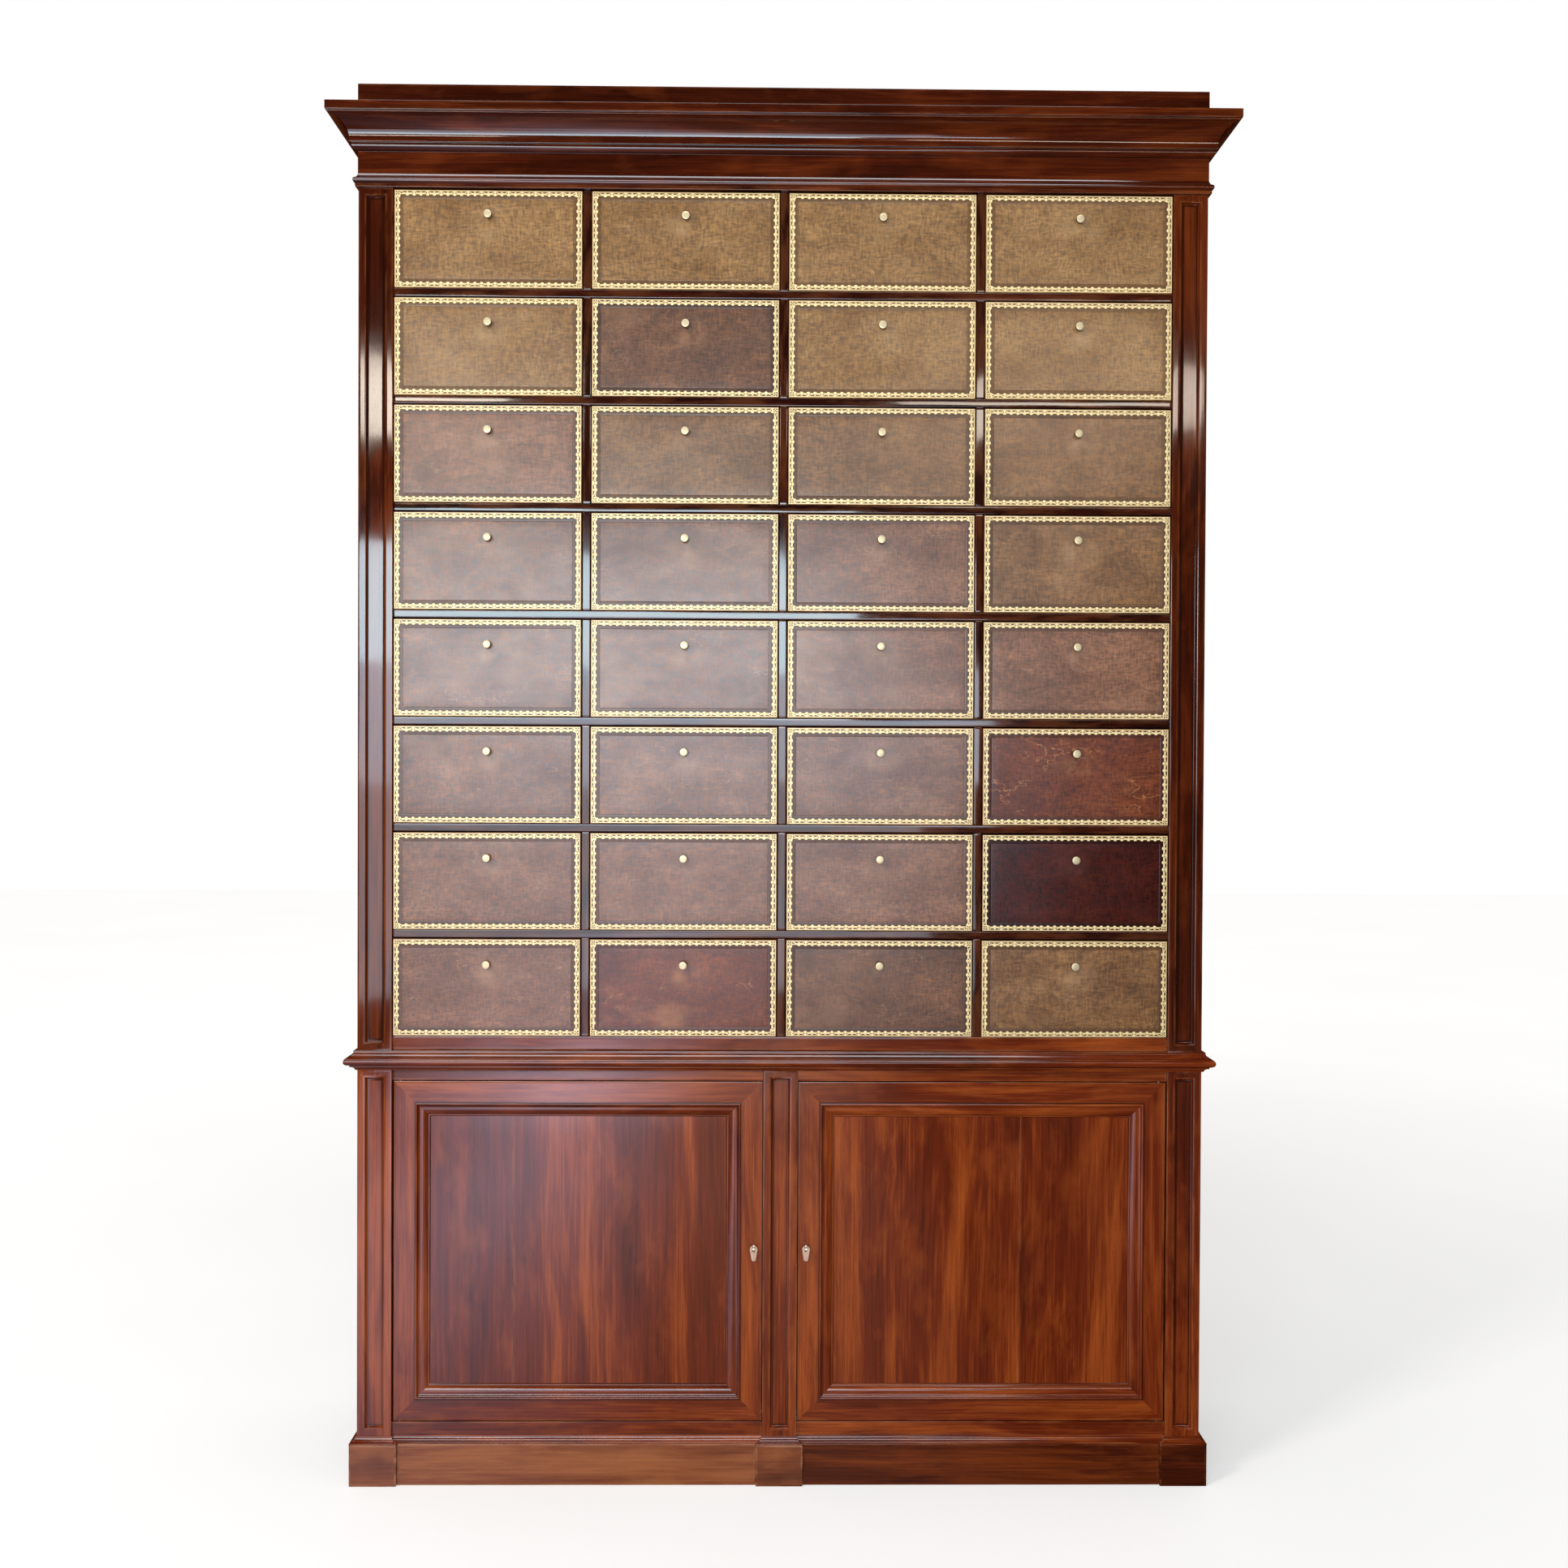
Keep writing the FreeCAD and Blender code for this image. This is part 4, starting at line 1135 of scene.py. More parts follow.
@dataclass(frozen=True)
class Cupboard(Assembly):
    """The cupboard's rails, floor, shelf and bearers."""

    floor: float = 22.0
    shelf: float = 18.0
    shelf_height: float = 345.0
    setback: float = 70.0
    bearer: float = 20.0

    def build(self) -> None:
        """Builds and dresses the cupboard's boards."""
        plan, finishes = self.plan, self.finishes
        rails, floor, shelf = Shells(), Shells(), Shells()
        rail_y = (plan.rail_front, plan.rail_back)
        for x, hand in both((-plan.half_inner, -plan.half_middle)):
            board(rails, x, rail_y, (plan.plinth_top, plan.opening_bottom), f"bottom_rail_{hand}")
            board(rails, x, rail_y, (plan.opening_top, plan.waist_bottom), f"top_rail_{hand}")
        rails.fixed("rails", finishes.door)
        half = plan.half_inside()
        floor_z = (plan.opening_bottom - self.floor, plan.opening_bottom)
        board(floor, (-half, half), (plan.rail_back, plan.boards_front), floor_z, "cupboard_floor")
        floor.fixed("cupboard_floor", finishes.oak, "oak")
        z = plan.opening_bottom + self.shelf_height
        front, back = plan.rail_front + self.setback, plan.boards_front
        bearer_z = (z - self.bearer, z)
        board(shelf, (-half, half), (front, back), (z, z + self.shelf), "cupboard_shelf")
        board(shelf, (-half, half), (back - self.bearer, back), bearer_z, "rear_bearer")
        for x, hand in both((-half, -half + self.bearer)):
            board(shelf, x, (front, back - self.bearer), bearer_z, f"end_bearer_{hand}")
        shelf.fixed("cupboard_shelf", finishes.oak, "oak")


@dataclass(frozen=True)
class BackBoards(Assembly):
    """Upright boards, side by side, behind each stage."""

    count: int = 8
    seam: float = 0.8
    ease: float = 1.5

    def build(self) -> None:
        """Builds and dresses the boards."""
        plan = self.plan
        work = Shells()
        edges = np.linspace(-1.0, 1.0, self.count + 1) * plan.half_inside()
        y = (plan.boards_front, plan.back)
        for stage, z in enumerate(plan.stages()):
            for i, (low, high) in enumerate(zip(edges[:-1], edges[1:])):
                x = (low + self.seam / 2, high - self.seam / 2)
                board(work, x, y, z, f"back_{stage}_{i}", self.ease, Axis.Z)
        work.fixed("back_boards", self.finishes.oak, "oak")


@dataclass(frozen=True)
class Waist(Assembly):
    """The thick board between the two stages, with its edge moulding on three sides."""

    projection: float = 22.0
    cove: float = 9.0
    cove_rise: float = 7.0
    cove_fullness: float = 0.7
    fillet: float = 3.0
    nose_height: float = 14.0
    nose_round: float = 5.0
    ledge: float = 6.0
    ease: float = 0.6
    fineness: int = 9

    def section(self, high: float) -> Profile:
        """A cove, a nose that stands out between fillets, and a hollow up to the ledge.

        Args:
            high: the whole height.

        Returns:
            The section.
        """
        nose_low = self.cove_rise + 1.5 * self.fillet
        nose_high = nose_low + self.nose_height
        nose_back = self.projection - self.nose_round
        shoulder = self.cove + self.fillet
        upper = ((shoulder + self.ledge) / 2 - self.fillet / 2, (nose_high + high) / 2)
        cove = (shoulder / 2, self.cove_rise * self.cove_fullness)
        nose = (self.projection, (nose_low + nose_high) / 2)
        steps = [(0.0, 0.0), (self.fillet, 0.0), (cove, (shoulder, self.cove_rise)),
                 (shoulder, self.cove_rise + self.fillet), (nose_back, nose_low),
                 (nose, (nose_back, nose_high)), (shoulder + self.fillet / 2, nose_high),
                 (upper, (self.ledge, high - self.fillet)), (self.ledge, high), (0.0, high)]
        return eased(outline(steps, self.fineness), self.ease)

    def build(self) -> None:
        """Builds and dresses the board and its moulding."""
        plan = self.plan
        work, z = Shells(), (plan.waist_bottom, plan.waist_top)
        mitred(work, plan.round_case(z[0]), self.section(z[1] - z[0]), UP, "waist_moulding")
        x, y = (-plan.half_case, plan.half_case), (plan.front, plan.back)
        board(work, x, y, z, "waist_board", FLUSH)
        work.fixed("waist_board", self.finishes.door)


@dataclass(frozen=True)
class Pigeonholes(Assembly):
    """The shelves that run through, the uprights between them, and the boards under and over them."""

    columns: int = 4
    rows: int = 8
    divider: float = 15.0
    lid: float = 20.0
    frieze: float = 20.0
    frieze_proud: float = 1.0
    ease: float = 1.6

    def build(self) -> None:
        """Builds and dresses the grid."""
        plan, finishes = self.plan, self.finishes
        sill, shelves, uprights = Shells(), Shells(), Shells()
        y = (plan.grid_front, plan.boards_front)
        half, behind = plan.half_inner, plan.half_inside()
        sill_z = (plan.waist_top, plan.grid_bottom)
        board(sill, (-behind, behind), (plan.post_back, y[1]), sill_z, "sill_back", FLUSH)
        board(sill, (-half, half), (y[0], plan.post_back), sill_z, "sill", self.ease)
        sill.piece("pigeonhole_sill", finishes.door, "case", "mahogany")
        pitch = (plan.grid_top - plan.grid_bottom + self.divider) / self.rows
        levels = plan.grid_bottom + pitch * np.arange(self.rows)
        for i, level in enumerate(levels[1:]):
            board(shelves, (-half, half), y, (level - self.divider, level), f"shelf_{i}", self.ease)
        inset = self.frieze - self.frieze_proud
        lid_x, lid_y = plan.half_case - inset, (plan.front + inset, plan.back - self.frieze)
        board(shelves, (-lid_x, lid_x), lid_y, (plan.grid_top, plan.grid_top + self.lid), "lid", FLUSH)
        shelves.fixed("pigeonhole_shelves", finishes.grid)
        for x, hand in both((-half - self.divider, -half)):
            z = (plan.grid_bottom, plan.grid_top)
            board(uprights, x, (plan.post_back, y[1]), z, f"end_upright_{hand}")
        width = (2 * half + self.divider) / self.columns
        for row, level in enumerate(levels):
            z = (level, level + pitch - self.divider)
            for column, end in enumerate(-half + width * np.arange(1, self.columns)):
                x, seed = (end - self.divider, end), f"upright_{row}_{column}"
                board(uprights, x, y, z, seed, self.ease, Axis.Z)
        uprights.fixed("pigeonhole_uprights", finishes.grid)


@dataclass(frozen=True)
class Entablature(Assembly):
    """Astragal, frieze, cornice and attic."""

    proud: float = 1.0
    thickness: float = 20.0
    board_ease: float = 1.0
    ovolo: float = 10.0
    fillet: float = 4.0
    step: float = 3.5
    projection: float = 50.0
    cavetto_rise: float = 39.0
    quirk: float = 1.5
    quirk_height: float = 3.5
    lip: float = 2.5
    cornice_ease: float = 0.7
    cornice_fineness: int = 14
    bead_fillet: float = 6.0
    bead_fillet_out: float = 4.5
    bead: float = 12.0
    bead_root: float = 3.5
    bead_projection: float = 8.5
    bead_ease: float = 0.6
    bead_fineness: int = 10
    astragal: float = 26.0
    dust_board: float = 14.0
    dust_board_sunk: float = 8.0

    def boxed(self, work: Shells, z: Span, seed: str) -> None:
        """Adds boards mitred at the front corners, closed by one across the back.

        Args:
            work: takes the shells.
            z: the boards' limits.
            seed: names the timber.
        """
        plan, inside, high = self.plan, self.proud - self.thickness, z[1] - z[0]
        section = np.array([(inside, 0.0), (self.proud, 0.0), (self.proud, high), (inside, high)])
        mitred(work, plan.round_case(z[0]), eased(section, self.board_ease), UP, seed)
        half = plan.half_case + inside
        board(work, (-half, half), (plan.back - self.thickness, plan.back), z, seed + "_back")

    def astragal_section(self) -> Profile:
        """A fillet, a bead and a small cove.

        Returns:
            The section.
        """
        out, bead_high = self.proud, self.bead_fillet + self.bead
        root = out + self.bead_root
        nose = (out + self.bead_projection, self.bead_fillet + self.bead / 2)
        cove = (out + self.bead_root / 3, (bead_high + self.astragal) / 2)
        fillet = out + self.bead_fillet_out
        steps = [(out, 0.0), (fillet, 0.0), (fillet, self.bead_fillet), (root, self.bead_fillet),
                 (nose, (root, bead_high)), (cove, (out, self.astragal))]
        return eased(outline(steps, self.bead_fineness), self.bead_ease)

    def cornice_section(self, high: float) -> Profile:
        """An ovolo and fillets, a broad cavetto and a top fillet.

        Args:
            high: the whole height.

        Returns:
            The section.
        """
        turn = math.sqrt(0.5)
        wall, foot = self.proud, self.proud + self.ovolo + self.step
        foot_z = self.ovolo + 2 * self.fillet
        edge = wall + self.projection
        brow, brow_z = edge - self.lip - self.quirk, foot_z + self.cavetto_rise
        hollow = (foot + (brow - foot) * (1 - turn), foot_z + self.cavetto_rise * turn)
        round_middle = (wall + self.ovolo * turn, self.ovolo * (1 - turn))
        fillet_z, lip, lip_z = self.ovolo + self.fillet, edge - self.lip, brow_z + self.quirk_height
        steps = [(wall, 0.0), (round_middle, (wall + self.ovolo, self.ovolo)), (wall + self.ovolo, fillet_z),
                 (foot, fillet_z), (foot, foot_z), (hollow, (brow, brow_z)), (lip, brow_z), (lip, lip_z),
                 (edge, lip_z), (edge, high), (wall, high)]
        return eased(outline(steps, self.cornice_fineness), self.cornice_ease)

    def build(self) -> None:
        """Builds and dresses all that stands over the pigeonholes."""
        plan, finishes = self.plan, self.finishes
        frieze, cornice, attic = Shells(), Shells(), Shells()
        self.boxed(frieze, (plan.grid_top, plan.cornice_top), "frieze")
        mitred(frieze, plan.round_case(plan.grid_top), self.astragal_section(), UP, "astragal")
        frieze.fixed("frieze", finishes.case)
        section = self.cornice_section(plan.cornice_top - plan.cornice_bottom)
        mitred(cornice, plan.round_case(plan.cornice_bottom), section, UP, "cornice")
        cornice.fixed("cornice", finishes.case)
        self.boxed(attic, (plan.cornice_top, plan.attic_top), "attic")
        inside = plan.half_case + self.proud - self.thickness
        y = (plan.front - self.proud + self.thickness, plan.back - self.thickness)
        top = plan.attic_top - self.dust_board_sunk
        board(attic, (-inside, inside), y, (top - self.dust_board, top), "dust_board")
        attic.fixed("attic", finishes.case)


@dataclass(frozen=True)
class Door(Assembly):
    """A cupboard door: mitred frame, applied moulding, a panel of veneer leaves, and its lock."""

    hand: Hand
    seams: tuple[float, ...]
    thickness: float = 26.0
    frame: float = 46.5
    frame_ease: float = 1.0
    start: float = 42.0
    width: float = 28.0
    bead: float = 4.5
    bead_height: float = 3.4
    hollow: float = 6.5
    hollow_depth: float = 2.6
    hollow_shape: Span = (0.4, 0.7)
    swell_shape: Span = (0.66, 0.36)
    foot: float = 4.0
    foot_fillet: float = 2.5
    moulding_ease: float = 0.35
    fineness: int = 9
    sunk: float = 10.0
    # Dirt and painted shade lie within this reach of the moulding's joints, and fade out over the next length
    # on the frame's face.
    grimy: float = 0.6
    soiled: float = 3.5
    panel: float = 8.0
    leaf_ease: float = 0.15
    groove: float = 7.0
    play: float = 1.0
    lock: Triple = (36.0, 12.0, 60.0)
    lock_below: float = 28.0
    lock_plate: float = 2.6
    lock_room: float = 11.2
    cover_ease: float = 0.4
    block_ease: float = 0.2
    proud: float = 0.3
    liner: float = 1.2
    liner_depths: Span = (2.0, 1.5)
    hole: float = 3.05
    hole_points: int = 25
    slot: float = 1.65
    slot_drop: float = 10.8

    def body(self) -> str:
        """The door's body, which its pieces' names start with."""
        return f"door_{self.hand.word()}"

    def key(self) -> "LockKey":
        """The key in the door's lock."""
        return LockKey(self.plan, self.finishes, self.hand)

    def path(self) -> Array:
        """The door's outer edge at its face, clockwise as seen from the front."""
        low, high = node_box(self.body() + "_panel")
        inset = self.frame - self.groove + self.play
        x, z = (low[0] - inset, high[0] + inset), (low[2] - inset, high[2] + inset)
        corners = [(x[0], z[1]), (x[1], z[1]), (x[1], z[0]), (x[0], z[0])]
        return np.array([(px, low[1] - self.sunk, pz) for px, pz in corners])

    def moulding_section(self) -> Profile:
        """Bead, hollow, ogee and fillet, lapping the frame and falling to the panel.

        Returns:
            The section.
        """
        bead_end, bead_base = self.start + self.bead, self.bead_height / 2
        ogee_start, end = bead_end + self.hollow, self.start + self.width
        foot, level = end - self.foot, self.foot_fillet - self.sunk
        hollow = (bead_end + self.hollow * self.hollow_shape[0], -self.hollow_depth * self.hollow_shape[1])
        swell_x = ogee_start + (foot - ogee_start) * self.swell_shape[0]
        swell = (swell_x, -self.hollow_depth + (level + self.hollow_depth) * self.swell_shape[1])
        bead = (self.start + self.bead / 2, self.bead_height)
        steps = [(self.start, 0.0), (self.start, bead_base), (bead, (bead_end, bead_base)),
                 (bead_end, bead_base / 2), (hollow, (ogee_start, -self.hollow_depth)), (swell, (foot, level)),
                 (foot + self.foot / 2, level), (end, -self.sunk), (bead_end, -self.sunk), (bead_end, 0.0)]
        section = eased(outline(steps, self.fineness), self.moulding_ease)
        # Dirt and painted shade darken the moulding where it meets the frame and the panel.
        return section.soiled([(self.start, 0.0), (end, -self.sunk)], self.grimy)

    def frame_section(self, housing: bool) -> Profile:
        """A member grooved for the panel, a little shy of the lock at the back.

        Args:
            housing: True where it is housed for the lock.

        Returns:
            The section.
        """
        floor, back = -self.sunk - self.panel, self.proud - self.thickness
        wide, deep = self.lock[0] + self.proud, self.lock[1] + self.proud - self.thickness
        housed = [(wide, back), (wide, deep), (self.proud, deep)]
        inner, groove, top = self.frame, self.frame - self.groove, -self.sunk
        steps = [(self.proud, 0.0), (self.start - self.soiled, 0.0), (self.start, 0.0), (inner, 0.0),
                 (inner, top), (groove, top), (groove, floor), (inner, floor), (inner, back)]
        steps += housed if housing else [(self.proud, back)]
        # Dirt and painted shade darken the frame's face along the moulding's edge.
        return eased(np.array(steps), self.frame_ease).soiled([(self.start, 0.0)], self.grimy)

    def closing(self) -> int:
        """Which of the path's sides is the closing stile."""
        return 1 if self.hand is Hand.LEFT else 3

    def lock_span(self) -> Span:
        """The lock's lower and upper end."""
        low = self.key().axis()[2] - self.lock_below
        return low, low + self.lock[2]

    def build_frame(self) -> None:
        """Builds the mitred members and their moulding, with the closing stile housed over the lock's height.

        The path starts at one end of the lock, goes round the door to its other end, and a housed length of
        the same timber closes it.
        """
        work, path, body, side = Shells(), self.path(), self.body(), self.closing()
        ends = path[[(side + 1) % 4, side]].copy()
        ends[:, 2] = self.lock_span() if self.hand is Hand.LEFT else self.lock_span()[::-1]
        around = np.concatenate([ends[:1], np.roll(path, -side - 1, 0), ends[1:]])
        name, names = body + "_frame", tuple((side + i) % 4 for i in range(5))
        mitred(work, around, self.frame_section(housing=False), OUT, name, names=names)
        mitred(work, ends[::-1], self.frame_section(housing=True), OUT, name, names=(side,))
        mitred(work, path, self.moulding_section(), OUT, body + "_moulding", closed=True)
        work.piece(name, self.finishes.door, body, "mahogany", name)

    def build_panel(self) -> None:
        """Builds the panel from upright leaves that meet at the seams."""
        work, body, name = Shells(), self.body(), self.body() + "_panel"
        low, high = node_box(name)
        edges = low[0] + (high[0] - low[0]) * np.array([0.0, *self.seams, 1.0])
        for i, x in enumerate(zip(edges[:-1], edges[1:])):
            y, z = (low[1], high[1]), (low[2], high[2])
            board(work, x, y, z, f"{body}_leaf_{i}", self.leaf_ease, Axis.Z)
        work.piece(name, self.finishes.door, body, "mahogany", name)

    def build_lock(self) -> None:
        """Builds the lock case: two plates with blocks between, round the bolt's channel and the key's room."""
        work, word, path, centre = Shells(), self.hand.word(), self.path(), self.key().axis()
        bolt, seed, edge = node_box(f"bolt_{word}"), f"lock_{word}", path[self.closing(), 0]
        x = tuple(sorted((edge, edge + math.copysign(self.lock[0], edge))))
        back, z = path[0, 1] + self.thickness, self.lock_span()
        y = (back - self.lock[1], back - self.lock[1] + self.lock_plate, back - self.lock_plate, back)
        channel = (bolt[LOW, 2] - self.proud, bolt[HIGH, 2] + self.proud)
        key_x, key_low = (centre[0] - self.lock_room, centre[0] + self.lock_room), centre[2] - self.lock_room
        board(work, x, y[:2], z, seed, FLUSH)
        board(work, x, y[2:], z, seed, self.cover_ease)
        spans = ((x, (z[0], key_low)), ((x[0], key_x[0]), (key_low, channel[0])),
                 ((key_x[1], x[1]), (key_low, channel[0])), (x, (channel[1], z[1])))
        for block_x, block_z in spans:
            board(work, block_x, y[1:3], block_z, seed, self.block_ease)
        work.piece(self.body() + "_lock", self.finishes.steel, self.body(), "steel")

    def keyhole(self, play: float) -> Array:
        """A round hole with a slot below it: an arc from one side of the slot to the other, and the slot's end.

        Args:
            play: how much wider than the hole the outline is, all round.

        Returns:
            The outline in X and Z.
        """
        radius, half, foot = self.hole + play, self.slot + play, -self.slot_drop - play
        lean = math.asin(half / radius)
        ring = radius * circle(np.linspace(-math.pi / 2 + lean, 1.5 * math.pi - lean, self.hole_points))
        return self.key().axis()[[0, 2]] + np.concatenate([ring, [(-half, foot), (half, foot)]])

    def build_liner(self) -> None:
        """Builds the keyhole's brass liner from its outer and its inner outline, each at two depths."""
        work, body, name = Shells(), self.body(), self.body() + "_fittings"
        outer, inner = (self.keyhole(play) for play in (self.liner, 0.0))
        depths = np.array([self.liner_depths[0], -self.proud, -self.proud, self.liner_depths[1]])
        rings = np.insert(np.stack([outer, outer, inner, inner]), 1, 0.0, axis=2)
        rings[..., 1] = self.path()[0, 1] + depths[:, None]
        # The inner rim at the back is marked -1: painted shade darkening the keyhole's floor.
        rub = np.array([0.0, 0.0, 0.0, -1.0])
        work.add_rings(rings, rub[:, None], np.eye(3), f"liner_{self.hand.word()}")
        work.piece(name, self.finishes.brass, body, "brass", name)

    def build(self) -> None:
        """Builds and dresses the door."""
        self.build_frame()
        self.build_panel()
        self.build_lock()
        self.build_liner()


@dataclass(frozen=True)
class LockKey(Assembly):
    """A key standing in its lock, and the folding bow that hangs on it."""

    hand: Hand
    shank: float = 3.0
    collar: float = 5.5
    collar_thickness: float = 2.4
    collar_gap: float = 0.6
    collar_round: float = 0.6
    blade: float = 5.0
    blade_round: float = 3.6
    blade_root: float = 1.0
    blade_ease: float = 0.4
    blade_drawn: float = 0.92
    bit: float = 2.5
    bit_length: float = 5.0
    bit_drop: float = 10.4
    bit_root: float = 1.0
    bit_from_tip: float = 7.5
    head: float = 7.5
    tip: float = 4.5
    slot: float = 2.8
    slot_depth: float = 4.6
    pin: float = 1.2
    pin_share: float = 0.8
    pin_sides: int = 16
    bend_points: int = 12

    def axis(self) -> Array:
        """The centre of the key's collar in X and Z, and the depth of the bow's pin."""
        low, high = node_box(f"key_{self.hand.word()}")
        bow_low, bow_high = node_box(f"key_bow_{self.hand.word()}")
        return np.array([(low[0] + high[0]) / 2, (bow_low[1] + bow_high[1]) / 2, high[2] - self.collar])

    def collar_face(self) -> float:
        """How far forward the collar's face lies."""
        door_face = node_box(f"door_{self.hand.word()}_panel")[LOW, 1] - Door.sunk
        return door_face - self.collar_gap - self.collar_thickness

    def add_shank(self, work: Shells, tip: float) -> None:
        """Adds the collar with its rounded rims, and the shank behind it.

        Args:
            work: takes the shell.
            tip: the shank's far end.
        """
        full, rise, start = self.collar, self.collar_round, self.collar_face()
        end = start + self.collar_thickness
        section = [(full - rise, start), (full - rise / 3, start + rise / 3), (full, start + rise),
                   (full, end - rise), (full - rise, end), (self.shank, end), (self.shank, tip)]
        turned(work, np.array(section), self.axis() * [1.0, 0.0, 1.0], -OUT, f"key_{self.hand.word()}_shank")

    def add_blade(self, work: Shells) -> None:
        """Adds the blade that the bow turns on: a half round carried across, drawn in at both faces.

        Args:
            work: takes the shell.
        """
        centre, half, reach, start = self.axis(), self.blade / 2, self.blade_round, self.collar_face()
        angle = np.linspace(math.pi / 2, -math.pi / 2, self.bend_points + 1)
        nose = [centre[1], 0.0] + reach * np.stack([-np.cos(angle), np.sin(angle)], -1)
        root = start + self.blade_root
        side = np.concatenate([nose, [(root, -reach), (root, reach)]])
        stations = np.array([-half, -half + self.blade_ease, half - self.blade_ease, half])
        drawn = np.array([self.blade_drawn, 1.0, 1.0, self.blade_drawn])[:, None]
        x, y, z = centre[0] + stations[:, None], start + (side[:, 0] - start) * drawn, side[:, 1] * drawn
        rings = np.stack(np.broadcast_arrays(x, y, centre[2] + z), -1)
        work.add_rings(rings, 0.0, np.eye(3), f"key_{self.hand.word()}_blade")

    def build_bow(self) -> None:
        """Builds the forked head, round above and tapering to a round tongue, on its pin."""
        body, centre, bow = f"key_bow_{self.hand.word()}", self.axis(), Shells()
        low, high = node_box(body)
        drop = centre[2] - low[2] - self.tip
        lean, prong = math.asin((self.head - self.tip) / drop), math.asin(self.slot / self.head)
        right, end, left = (circle(np.linspace(*angles, self.bend_points)) for angles in (
            (math.pi / 2 - prong, -lean), (-lean, -math.pi + lean), (math.pi + lean, math.pi / 2 + prong)))
        fork = [(-self.slot, -self.slot_depth), (self.slot, -self.slot_depth)]
        shape = np.concatenate([self.head * right, self.tip * end - [0.0, drop], self.head * left, fork])
        plate(bow, centre[[0, 2]] + shape, (low[1], high[1]), body)
        reach = self.pin_share * self.head
        section = np.array([(self.pin, -reach), (self.pin, reach)])
        turned(bow, section, centre, ACROSS, body + "_pin", self.pin_sides)
        bow.piece(body, self.finishes.key, body, "brass", body)

    def build(self) -> None:
        """Builds and dresses the key and its bow."""
        body, centre, key = f"key_{self.hand.word()}", self.axis(), Shells()
        tip = node_box(body)[HIGH, 1]
        self.add_shank(key, tip)
        self.add_blade(key)
        bit_x = (centre[0] - self.bit / 2, centre[0] + self.bit / 2)
        bit_y = (tip - self.bit_from_tip, tip - self.bit_from_tip + self.bit_length)
        bit_z = (centre[2] - self.bit_drop, centre[2] - self.bit_root)
        board(key, bit_x, bit_y, bit_z, body + "_bit", FLUSH)
        key.piece(body, self.finishes.key, body, "brass", body)
        self.build_bow()


class Rise(Enum):
    """How much of the gold's height a ribbon has, so that ribbons that cross don't lie level."""

    BAR = 1.0
    RING = 0.96
    LINE = 0.9
    RING_CROSS = 0.88
    FESTOON = 0.8
    OUTER_LINE = 0.7


